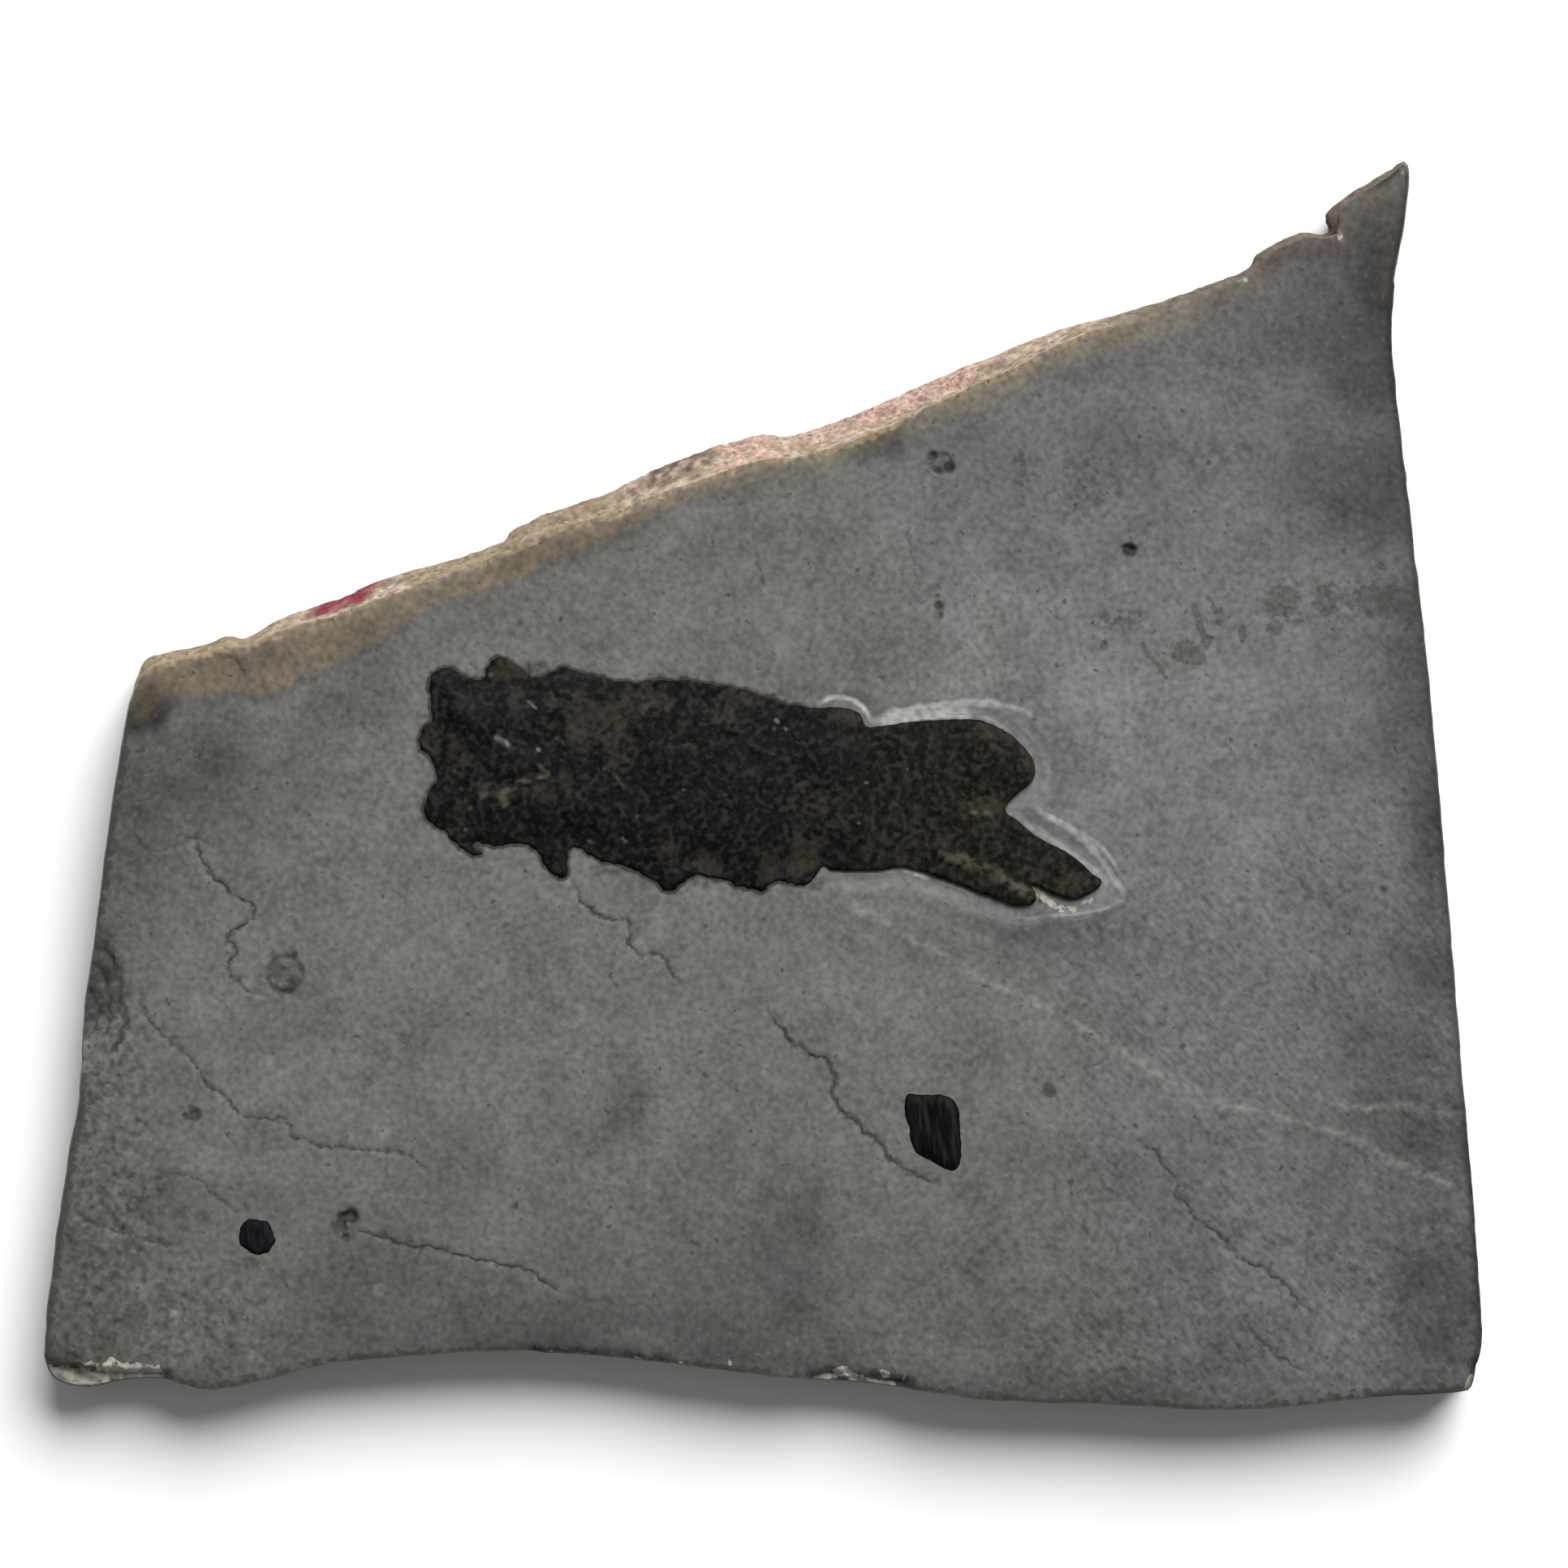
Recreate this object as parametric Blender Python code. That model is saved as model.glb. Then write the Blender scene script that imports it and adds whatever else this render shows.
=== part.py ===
"""A flagstone with a fossil fish and two black fragments fixed in its bedding plane.

Metres, +Z up. The slab lies on its flat underside at z = 0, and its plan is centred on x = y = 0.
Plans are drawn in millimetres as seen from above, with the sloping joint face on the +Y side.
"""

import math

import bmesh
import bpy
import numpy as np
from mathutils import Vector, noise
from mathutils.geometry import delaunay_2d_cdt, interpolate_bezier

MM = 0.001

# Driving dimensions, in millimetres.
THICKNESS = 12.0
GAP = 0.3  # clearance all round a fossil piece in its pocket
POCKET_FLOOR = 9.3  # height of the pockets' floor above the underside
CREASE = math.radians(28.0)  # facets that meet at more than this stay sharp
EDGE_STEP = 4.2  # spacing of the points round the slab
FISH_STEP = 1.5  # spacing of the points round the fish
CHIP_STEP = 1.6
FACE_STEP = 5.4  # spacing of the points over the slab's face
RELIEF_STEP = 2.1  # spacing of the points over the fish
CLEAR_SHARE = 0.4  # part of a spacing that points keep from an outline
JITTER = 0.22  # part of a spacing by which points stray from their grid

# Plan of the slab at its widest, clockwise from the left end of the joint face.
SLAB_PLAN = (
    (-94.2, 10.3), (-93.0, 15.7), (-91.3, 18.5), (-84.1, 20.2), (-79.9, 21.6), (-77.2, 21.5),
    (-71.5, 24.5), (-62.5, 27.7), (-55.3, 30.7), (-45.7, 33.4), (-38.5, 36.0), (-37.7, 37.3),
    (-33.7, 39.5), (-24.1, 42.8), (-16.9, 46.3), (-7.3, 49.9), (-0.1, 51.8), (4.7, 51.8),
    (16.7, 56.2), (28.7, 61.3), (35.9, 64.1), (43.1, 67.1), (55.1, 70.3), (67.7, 74.5),
    (72.5, 76.8), (73.7, 78.5), (79.7, 81.7), (84.2, 81.9), (84.0, 84.5), (86.6, 87.0),
    (93.6, 91.3), (94.7, 92.2), (95.5, 90.6), (95.0, 84.7), (92.9, 69.7), (93.4, 59.5), (95.9, 37.9),
    (98.3, 16.3), (101.0, -13.7), (103.1, -40.1), (105.1, -62.9), (106.2, -80.9),
    (105.9, -84.5), (104.9, -89.3), (102.5, -90.0), (91.1, -90.6), (76.7, -92.2),
    (67.1, -92.6), (47.9, -91.7), (33.5, -91.1), (16.7, -88.9), (2.3, -87.7), (-12.1, -86.0),
    (-24.1, -84.7), (-38.5, -83.9), (-52.9, -84.7), (-65.0, -85.9), (-75.7, -88.6),
    (-82.9, -89.5), (-88.9, -88.1), (-94.9, -88.3), (-100.9, -89.4), (-105.5, -87.7),
    (-106.3, -82.1), (-104.9, -68.9), (-102.8, -54.5), (-101.4, -47.3), (-100.6, -32.9),
    (-98.8, -20.9), (-97.6, -11.3), (-95.5, 3.1),
)

# How far the joint face leans back at the top, by x along the sloping edge.
JOINT_LEAN = (
    (-94.0, 0.0), (-91.5, 1.2), (-78.0, 1.0), (-65.0, 2.0), (-55.0, 2.4), (-40.0, 1.3),
    (-36.0, 2.0), (-24.0, 3.0), (-9.0, 3.8), (4.0, 3.2), (15.0, 3.6), (28.0, 3.0),
    (38.0, 2.5), (48.0, 1.4), (60.0, 0.8), (92.0, 0.5), (94.5, 0.0),
)
JOINT_FOOT = 4.5  # height at which the joint face starts to lean
JOINT_SPREAD = 0.4  # how far its foot stands out from the plan

# Bedding layers on the broken sides: height, and how far the layer stands back from the plan.
LAYERS = (
    (0.0, 1.9), (0.8, 1.0), (2.5, 0.4), (2.8, 1.5), (4.5, 1.0), (5.0, 0.0),
    (7.3, 0.2), (7.6, 1.2), (10.0, 0.6),
)
LAYER_RUN = 26.0  # length over which a ledge comes and goes along a side
LAYER_SAG = 0.7  # how far a layer wanders up and down
# The rounded upper edge: depth below the face, and how far it stands back.
UPPER_EDGE = ((0.9, 0.0), (0.3, 0.25), (0.0, 0.8))

# Places where the upper edge is broken away: both ends, reach and depth.
EDGE_CHIPS = (
    ((-107.0, -88.2), (-89.5, -89.2), 3.0, 1.9),
    ((8.0, -88.9), (20.0, -90.3), 3.0, 1.7),
    ((-34.0, -84.7), (-14.0, -86.4), 1.6, 1.2),
    ((106.5, -87.0), (105.0, -91.0), 2.6, 2.4),
    ((-101.5, -25.5), (-102.5, -37.5), 6.5, 1.0),
    ((71.0, 77.5), (73.0, 80.5), 2.2, 1.6),
    ((-22.0, 42.0), (-16.5, 44.0), 2.6, 1.2),
)

# Plan of the fish, clockwise from the upper end of its torn front.
FISH_PLAN = (
    (-49.3, 13.0), (-49.2, 15.7), (-48.5, 16.8), (-46.9, 17.1), (-45.4, 16.6), (-44.5, 15.9),
    (-41.5, 15.6), (-40.9, 17.1), (-39.4, 18.7), (-37.6, 18.1), (-35.0, 16.3), (-33.6, 15.8),
    (-31.8, 16.4), (-28.9, 17.0), (-26.2, 16.1),
    (-20.0, 15.0), (-15.0, 15.3), (-11.2, 15.2), (-6.9, 14.6), (-2.9, 13.8), (2.0, 12.2),
    (6.0, 11.3), (11.1, 11.3), (14.1, 10.5), (15.1, 8.6), (17.1, 8.5), (21.9, 9.2),
    (27.7, 9.5), (31.7, 9.5), (34.2, 8.6), (36.9, 7.0), (39.0, 4.9), (40.1, 2.8),
    (39.9, 0.7), (38.6, -0.6), (36.6, -2.3), (35.8, -3.9), (37.6, -5.5), (40.7, -8.0),
    (43.9, -9.6), (46.4, -11.2), (48.5, -13.2), (50.0, -14.5), (48.0, -16.3), (45.6, -17.0),
    (42.9, -16.3), (39.6, -14.9), (40.2, -16.2), (40.1, -17.4), (37.8, -18.0), (33.7, -16.7),
    (28.1, -14.6), (24.5, -13.3), (20.3, -12.2), (17.1, -12.7), (11.6, -12.8), (9.7, -12.6),
    (8.9, -12.2), (7.5, -13.8), (5.8, -15.0), (2.1, -14.2), (0.1, -15.6), (-3.2, -15.3),
    (-6.6, -14.1), (-10.1, -13.5), (-12.6, -15.0), (-13.4, -15.8), (-14.5, -15.7),
    (-16.3, -14.3), (-20.0, -12.2), (-24.0, -11.4), (-26.7, -9.7), (-28.0, -9.1),
    (-28.9, -10.0), (-29.3, -13.7), (-30.3, -13.9), (-32.1, -12.4), (-33.2, -10.2),
    (-34.6, -9.1), (-37.0, -8.8), (-39.2, -9.1), (-41.4, -8.8), (-42.9, -8.8), (-42.5, -9.6),
    (-41.8, -10.4), (-43.7, -10.2), (-44.9, -9.3), (-46.8, -7.5), (-48.9, -5.9), (-50.3, -4.2),
    (-49.7, -1.7), (-48.3, 0.4), (-48.7, 2.5), (-49.1, 4.0), (-50.5, 5.1), (-50.9, 6.5),
    (-50.2, 8.4), (-49.1, 9.3),
)
FISH_EDGE = 0.2  # how far the fish's edge stands above the slab's face
FISH_CROWN = 0.95  # further rise to the middle of the body
TAIL_CROWN = 0.45  # and to the middle of the tail
TAIL_START, TAIL_END = 6.0, 22.0  # where the body thins into the tail
SHOULDER = 7.0  # distance inside the outline over which the fish rises
RIM = 2.0  # distance inside the outline over which its lumps come in
FISH_GRAIN = ((4.5, 0.16), (2.4, 0.07))  # size and height of its knobbly grain

# Hollows where rock shows through the fish: centre, reach and depth.
FISH_HOLLOWS = (
    ((-25.0, 9.0), 5.5, 0.5), ((-24.5, 3.5), 4.0, 0.4), ((-17.0, 13.0), 3.0, 0.4),
    ((-5.0, 11.5), 3.0, 0.4), ((-10.0, -11.5), 4.0, 0.4), ((5.5, -11.5), 3.5, 0.4),
    ((-38.0, 16.5), 3.0, 0.3), ((-49.5, 6.2), 2.5, 0.2),
)
# Raised places on the fish: centre, reach and height.
FISH_LUMPS = (
    ((-44.0, 9.0), 5.0, 0.45), ((-36.0, 3.0), 5.0, 0.4), ((-31.0, 11.0), 4.0, 0.35),
    ((-14.0, 4.0), 6.0, 0.4), ((-2.0, -3.0), 6.0, 0.35), ((9.0, 4.0), 5.0, 0.3),
    ((-27.0, -4.0), 5.0, 0.4), ((24.0, 5.0), 4.0, 0.25), ((33.0, 3.0), 4.0, 0.2),
)

# The trough scraped in the rock round the tail: where it begins along x, reach and depth.
TROUGH_START, TROUGH_FULL = 5.0, 14.0
TROUGH_REACH = 3.4
TROUGH_DEPTH = 0.45
TROUGH_RIDGES = (1.0, 3.2)  # distances from the fish at which the trough's shape is drawn

# Plans of the two black fragments, clockwise, and how far each stands above the face.
CHIP_PLAN = (
    (21.2, -46.1), (23.3, -46.0), (26.3, -46.0), (27.9, -46.6), (28.8, -48.2), (29.1, -52.0),
    (29.1, -55.5), (28.4, -57.1), (27.2, -57.1), (24.6, -55.7), (22.6, -54.5), (21.6, -52.2),
    (21.6, -51.0), (20.9, -48.8),
)
CHIP_PROUD = 0.3
CHIP_SHOULDER = 1.5
CHIP_GRAIN, CHIP_GRAIN_SIZE, CHIP_GRAIN_STRETCH = 0.12, 1.3, 0.15
SMALL_CHIP_PLAN = (
    (-77.5, -66.4), (-76.8, -64.8), (-75.3, -64.3), (-73.2, -65.0), (-72.4, -67.2),
    (-72.8, -68.6), (-74.6, -69.6), (-77.2, -68.4),
)
SMALL_CHIP_PROUD = 0.15

# Pits and scars in the face: centre, reach and depth.
PITS = (
    ((-62.0, -65.0), 2.6, 0.8), ((54.0, 34.6), 2.0, 0.7), ((26.2, 47.3), 2.4, 0.5),
    ((-70.5, -27.6), 3.0, 0.5), ((-84.4, -48.8), 2.0, 0.5),
)
FACE_ROLL = 0.35  # height of the face's long swells
FACE_ROLL_SIZE = 55.0
FACE_DIMPLE = 0.12
FACE_DIMPLE_SIZE = 17.0


def swell(x, y, size, layer):
    """Smooth unevenness between about -1 and 1."""
    return noise.noise(Vector((x / size, y / size, layer)))


def ease(share):
    """0 below 0, 1 above 1, and a smooth step between."""
    share = min(max(share, 0.0), 1.0)
    return share * share * (3.0 - 2.0 * share)


def dome(point, centre, reach):
    """1 at the centre and 0 from the reach outwards."""
    return ease(1.0 - math.dist(point, centre) / reach)


def distance_to_segment(point, start, end):
    along = np.subtract(end, start)
    offset = np.subtract(point, start)
    share = min(max(float(offset @ along) / float(along @ along), 0.0), 1.0)
    return float(np.linalg.norm(offset - share * along))


def distance_to_plan(point, plan):
    """Shortest distance from a point to a closed outline."""
    starts, ends = plan, np.roll(plan, -1, axis=0)
    along, offset = ends - starts, np.asarray(point) - starts
    share = np.clip((offset * along).sum(axis=1) / (along * along).sum(axis=1), 0.0, 1.0)
    return float(np.linalg.norm(offset - share[:, None] * along, axis=1).min())


def inside(point, plan):
    """Whether a point lies inside a closed outline."""
    x, y = point
    (x0, y0), (x1, y1) = plan.T, np.roll(plan, -1, axis=0).T
    spans = (y0 > y) != (y1 > y)
    rise = np.where(spans, y1 - y0, 1.0)
    return bool((spans & (x < x0 + (y - y0) * (x1 - x0) / rise)).sum() % 2)


def smooth_plan(corners, step):
    """Points about one step apart on a smooth closed curve through the corners."""
    corners = [Vector(corner) for corner in corners]
    count = len(corners)
    points = []
    for i, start in enumerate(corners):
        before, end, after = corners[i - 1], corners[(i + 1) % count], corners[(i + 2) % count]
        length = (end - start).length
        leave = start + (end - before).normalized() * length / 3.0
        arrive = end - (after - start).normalized() * length / 3.0
        pieces = max(1, round(length / step))
        points += interpolate_bezier(start, leave, arrive, end, pieces + 1)[:-1]
    return np.array([tuple(point) for point in points])


def grown(plan, distance):
    """A clockwise outline moved outwards by a distance, which may differ from point to point."""
    along = np.roll(plan, -1, axis=0) - plan
    along /= np.linalg.norm(along, axis=1)[:, None]
    left = np.stack([-along[:, 1], along[:, 0]], axis=1)
    outward = left + np.roll(left, 1, axis=0)
    outward /= np.linalg.norm(outward, axis=1)[:, None]
    mitre = 1.0 / np.maximum((outward * left).sum(axis=1), 0.6)
    return plan + outward * (mitre * distance)[:, None]


SLAB_OUTLINE = smooth_plan(SLAB_PLAN, EDGE_STEP)
FISH_OUTLINE = smooth_plan(FISH_PLAN, FISH_STEP)
CHIP_OUTLINE = smooth_plan(CHIP_PLAN, CHIP_STEP)
SMALL_CHIP_OUTLINE = smooth_plan(SMALL_CHIP_PLAN, CHIP_STEP)
FOSSIL_OUTLINES = (FISH_OUTLINE, CHIP_OUTLINE, SMALL_CHIP_OUTLINE)


def face_level(x, y):
    """Height of the slab's face before anything is broken or scraped from it."""
    roll = FACE_ROLL * swell(x, y, FACE_ROLL_SIZE, 1.0)
    return THICKNESS + roll + FACE_DIMPLE * swell(x, y, FACE_DIMPLE_SIZE, 2.0)


def in_tail_trough(x):
    """0 along the body, rising to 1 where the trough round the tail is full."""
    return ease((x - TROUGH_START) / (TROUGH_FULL - TROUGH_START))


def face_height(x, y):
    """Height of the slab's face, with its trough, pits and broken edges."""
    height = face_level(x, y)
    floor_reach = TROUGH_RIDGES[0]
    if TROUGH_START < x < FISH_OUTLINE[:, 0].max() + TROUGH_REACH:
        away = distance_to_plan((x, y), FISH_OUTLINE)
        fall = ease((TROUGH_REACH - away) / (TROUGH_REACH - floor_reach))
        height -= TROUGH_DEPTH * in_tail_trough(x) * fall
    for centre, reach, depth in PITS:
        height -= depth * dome((x, y), centre, reach)
    for start, end, reach, depth in EDGE_CHIPS:
        away = distance_to_segment((x, y), start, end)
        height -= depth * ease(2.0 * (reach - away) / reach)
    return height


def fish_height(x, y, depth_inside):
    """Height of the fish's surface at a distance inside its outline."""
    tail = ease((x - TAIL_START) / (TAIL_END - TAIL_START))
    crown = FISH_CROWN + (TAIL_CROWN - FISH_CROWN) * tail
    height = face_level(x, y) + FISH_EDGE + crown * ease(depth_inside / SHOULDER)
    rise = ease(depth_inside / RIM)
    for size, grain in FISH_GRAIN:
        height += rise * grain * swell(x, y, size, 3.0)
    for centre, reach, lump in FISH_LUMPS:
        height += rise * lump * dome((x, y), centre, reach)
    for centre, reach, hollow in FISH_HOLLOWS:
        height -= rise * hollow * dome((x, y), centre, reach)
    return height


def scattered(plan, clear_of, step):
    """Points on a jittered triangular grid inside an outline, kept off other outlines."""
    margin = CLEAR_SHARE * step
    low, high = plan.min(axis=0), plan.max(axis=0)
    row_step = step * math.sqrt(0.75)
    points = []
    for row in range(math.ceil((high[1] - low[1]) / row_step)):
        for column in range(math.ceil((high[0] - low[0]) / step) + 1):
            x = low[0] + (column + 0.5 * (row % 2)) * step
            y = low[1] + row * row_step
            x += JITTER * step * swell(x, y, 0.37 * step, 5.0)
            y += JITTER * step * swell(x, y, 0.37 * step, 6.0)
            clear = all(distance_to_plan((x, y), other) > margin for other in clear_of)
            if clear and inside((x, y), plan):
                points.append((x, y))
    return points


def trough_points():
    """Points along the floor's edge and the brim of the trough round the tail."""
    kept = []
    for reach in TROUGH_RIDGES:
        for point in grown(FISH_OUTLINE, reach)[::2]:
            point = tuple(point)
            near = any(math.dist(point, other) < 0.8 * FISH_STEP for other in kept)
            level = distance_to_plan(point, FISH_OUTLINE) > reach - 0.1
            if level and not near and point[0] > TROUGH_START and not inside(point, FISH_OUTLINE):
                kept.append(point)
    return kept


def triangulated(outlines, points):
    """Triangles over the first outline that keep every outline's edges, as points and faces."""
    places = [tuple(place) for outline in outlines for place in outline] + list(points)
    edges, first = [], 0
    for outline in outlines:
        count = len(outline)
        edges += [(first + i, first + (i + 1) % count) for i in range(count)]
        first += count
    made, _, faces, *_ = delaunay_2d_cdt([Vector(p) for p in places], edges, [], 1, 1e-6)
    if len(made) != len(places):
        raise ValueError("two outlines cross, or two points coincide")
    return np.array(places), faces


def join_rings(mesh, upper, lower):
    """Walls between two closed rings of as many points."""
    count = len(upper)
    for i in range(count):
        j = (i + 1) % count
        mesh.faces.new((upper[i], upper[j], lower[j], lower[i]))


def raised(mesh, places, height):
    """New points over a plan, at one height or at the height that a function gives."""
    level = height if callable(height) else lambda x, y: height
    return [mesh.verts.new(Vector((x, y, level(x, y))) * MM) for x, y in places]


def finished(name, mesh, material, parent=None):
    """An object with the mesh's faces pointing out, its facets rounded off in shading."""
    bmesh.ops.recalc_face_normals(mesh, faces=mesh.faces)
    data = bpy.data.meshes.new(name)
    mesh.to_mesh(data)
    mesh.free()
    data.materials.append(material)
    data.shade_smooth()
    data.set_sharp_from_angle(angle=CREASE)
    piece = bpy.data.objects.new(name, data)
    piece.parent = parent
    bpy.context.scene.collection.objects.link(piece)
    return piece


def stone(name, colour, roughness):
    material = bpy.data.materials.new(name)
    material.use_nodes = True
    shader = material.node_tree.nodes["Principled BSDF"]
    shader.inputs["Base Color"].default_value = (*colour, 1.0)
    shader.inputs["Roughness"].default_value = roughness
    shader.inputs["Metallic"].default_value = 0.0
    return material


def lean_of_joint(x, y):
    """How far the joint face leans back at the top, and nothing on the other sides."""
    on_joint = y > 0.47 * x + 30.0 and y > 12.0
    return float(np.interp(x, *zip(*JOINT_LEAN))) if on_joint else 0.0


def make_slab(material):
    """The rock, with its broken sides, the face's relief and a pocket for each fossil piece."""
    mesh = bmesh.new()
    lean = np.array([lean_of_joint(x, y) for x, y in SLAB_OUTLINE])
    spread = np.minimum(lean, JOINT_SPREAD)
    sag = np.array([LAYER_SAG * swell(x, y, 2.0 * LAYER_RUN, 7.0) for x, y in SLAB_OUTLINE])

    brim = grown(SLAB_OUTLINE, -(lean + UPPER_EDGE[-1][1]))
    pockets = [grown(outline, 0.5 * GAP) for outline in FOSSIL_OUTLINES]
    ridges = trough_points()
    loose = [
        point
        for point in scattered(brim, [brim, *pockets], FACE_STEP)
        if all(math.dist(point, ridge) > CLEAR_SHARE * FACE_STEP for ridge in ridges)
    ]
    places, faces = triangulated([brim, *pockets], ridges + loose)

    face = raised(mesh, places, face_height)
    floor = {}
    first = len(brim)
    for pocket in pockets:
        rim = range(first, first + len(pocket))
        under = [i for i, place in enumerate(places) if i in rim or inside(place, pocket)]
        floor.update(zip(under, raised(mesh, places[under], POCKET_FLOOR)))
        join_rings(mesh, [face[i] for i in rim], [floor[i] for i in rim])
        first += len(pocket)
    for corners in faces:
        centre = places[list(corners)].mean(axis=0)
        sunk = any(inside(centre, pocket) for pocket in pockets)
        mesh.faces.new([floor[i] if sunk else face[i] for i in corners])
    bmesh.ops.delete(mesh, geom=[v for v in mesh.verts if not v.link_faces], context="VERTS")

    upper = face[: len(brim)]
    levels = np.array([face_height(x, y) for x, y in brim])
    steps = [(levels - depth, lean + back) for depth, back in UPPER_EDGE[-2::-1]]
    for height, back in reversed(LAYERS):
        share = max(height - JOINT_FOOT, 0.0) / (THICKNESS - JOINT_FOOT)
        wear = [0.6 + 1.5 * swell(x, y, LAYER_RUN, 0.25 * height) for x, y in SLAB_OUTLINE]
        bow = math.sin(math.pi * height / THICKNESS)
        heights = levels * height / THICKNESS + bow * sag
        back = back * np.clip(wear, 0.1, 1.2)
        steps.append((heights, back + lean * share - spread * (1.0 - share)))
    for heights, back in steps:
        ring = grown(SLAB_OUTLINE, -back)
        lower = [mesh.verts.new(Vector((*place, z)) * MM) for place, z in zip(ring, heights)]
        join_rings(mesh, upper, lower)
        upper = lower
    mesh.faces.new(upper)
    return finished("slab", mesh, material)


def make_fossil(name, outline, height, step, material, slab):
    """A fossil piece in its pocket: flat below, upright at its edge and shaped by a height above."""
    mesh = bmesh.new()
    plan = grown(outline, -0.5 * GAP)
    places, faces = triangulated([plan], scattered(plan, [plan], step))

    def over_plan(x, y):
        return height(x, y, distance_to_plan((x, y), plan))

    surface = raised(mesh, places, over_plan)
    for corners in faces:
        mesh.faces.new([surface[i] for i in corners])
    base = raised(mesh, plan, POCKET_FLOOR + GAP)
    join_rings(mesh, surface[: len(plan)], base)
    mesh.faces.new(base)
    return finished(name, mesh, material, slab)


def chip_height(proud):
    """The height of a fragment with upright grain, its edge a little below its middle."""

    def height(x, y, depth_inside):
        grain = CHIP_GRAIN * swell(x, CHIP_GRAIN_STRETCH * y, CHIP_GRAIN_SIZE, 8.0)
        return face_level(x, y) + proud * ease(depth_inside / CHIP_SHOULDER) + grain

    return height


def main():
    for leftover in list(bpy.data.objects):
        bpy.data.objects.remove(leftover, do_unlink=True)
    slab = make_slab(stone("grey_flagstone", (0.127, 0.131, 0.125), 0.85))
    black = stone("fossil_crust", (0.014, 0.014, 0.013), 0.6)
    coal = stone("coaly_fragment", (0.005, 0.005, 0.006), 0.5)
    make_fossil("fish_fossil", FISH_OUTLINE, fish_height, RELIEF_STEP, black, slab)
    make_fossil("black_chip", CHIP_OUTLINE, chip_height(CHIP_PROUD), CHIP_STEP, coal, slab)
    make_fossil(
        "small_chip", SMALL_CHIP_OUTLINE, chip_height(SMALL_CHIP_PROUD), CHIP_STEP, coal, slab
    )
    centre = 0.5 * (SLAB_OUTLINE.min(axis=0) + SLAB_OUTLINE.max(axis=0))
    slab.location = Vector((-centre[0], -centre[1], 0.0)) * MM


main()
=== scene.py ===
"""Looks of the fossil fish slab: a grey flagstone with a black fossil fish and two black fragments.

Plans and places are in millimetres, seen from above, as in the solids' own source. MM turns them
into the frame's metres.
"""

import math

import bpy
import numpy as np
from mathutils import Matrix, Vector, noise
from mathutils.geometry import delaunay_2d_cdt, interpolate_bezier
from mathutils.kdtree import KDTree


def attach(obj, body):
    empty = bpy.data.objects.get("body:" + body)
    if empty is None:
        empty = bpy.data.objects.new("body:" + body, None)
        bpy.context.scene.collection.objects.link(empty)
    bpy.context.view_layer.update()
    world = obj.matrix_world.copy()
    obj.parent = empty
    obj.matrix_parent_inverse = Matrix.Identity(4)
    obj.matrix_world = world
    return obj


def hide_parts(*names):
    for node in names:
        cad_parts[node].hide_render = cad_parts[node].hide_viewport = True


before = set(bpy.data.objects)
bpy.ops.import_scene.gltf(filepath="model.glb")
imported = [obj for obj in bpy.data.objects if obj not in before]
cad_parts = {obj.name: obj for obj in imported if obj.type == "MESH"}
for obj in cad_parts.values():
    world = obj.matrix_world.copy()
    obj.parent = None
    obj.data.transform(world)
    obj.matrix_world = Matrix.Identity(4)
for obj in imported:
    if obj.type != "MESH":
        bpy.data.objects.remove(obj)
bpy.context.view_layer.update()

MM = 0.001

# ---------------------------------------------------------------- shape, as in the solids

THICKNESS = 12.0
POCKET_FLOOR = 9.3
FOSSIL_UNDER = 9.6

SLAB_PLAN = (
    (-94.2, 10.3), (-93.0, 15.7), (-91.3, 18.5), (-84.1, 20.2), (-79.9, 21.6), (-77.2, 21.5),
    (-71.5, 24.5), (-62.5, 27.7), (-55.3, 30.7), (-45.7, 33.4), (-38.5, 36.0), (-37.7, 37.3),
    (-33.7, 39.5), (-24.1, 42.8), (-16.9, 46.3), (-7.3, 49.9), (-0.1, 51.8), (4.7, 51.8),
    (16.7, 56.2), (28.7, 61.3), (35.9, 64.1), (43.1, 67.1), (55.1, 70.3), (67.7, 74.5),
    (72.5, 76.8), (73.7, 78.5), (79.7, 81.7), (84.2, 81.9), (84.0, 84.5), (86.6, 87.0),
    (93.6, 91.3), (94.7, 92.2), (95.5, 90.6), (95.0, 84.7), (92.9, 69.7), (93.4, 59.5), (95.9, 37.9),
    (98.3, 16.3), (101.0, -13.7), (103.1, -40.1), (105.1, -62.9), (106.2, -80.9),
    (105.9, -84.5), (104.9, -89.3), (102.5, -90.0), (91.1, -90.6), (76.7, -92.2),
    (67.1, -92.6), (47.9, -91.7), (33.5, -91.1), (16.7, -88.9), (2.3, -87.7), (-12.1, -86.0),
    (-24.1, -84.7), (-38.5, -83.9), (-52.9, -84.7), (-65.0, -85.9), (-75.7, -88.6),
    (-82.9, -89.5), (-88.9, -88.1), (-94.9, -88.3), (-100.9, -89.4), (-105.5, -87.7),
    (-106.3, -82.1), (-104.9, -68.9), (-102.8, -54.5), (-101.4, -47.3), (-100.6, -32.9),
    (-98.8, -20.9), (-97.6, -11.3), (-95.5, 3.1),
)
# How far back the joint face leans, by x.
JOINT_LEAN = (
    (-94.0, 0.0), (-91.5, 1.2), (-78.0, 1.0), (-65.0, 2.0), (-55.0, 2.4), (-40.0, 1.3),
    (-36.0, 2.0), (-24.0, 3.0), (-9.0, 3.8), (4.0, 3.2), (15.0, 3.6), (28.0, 3.0),
    (38.0, 2.5), (48.0, 1.4), (60.0, 0.8), (92.0, 0.5), (94.5, 0.0),
)
JOINT_FOOT = 4.5  # height at which the joint face starts to lean
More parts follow.
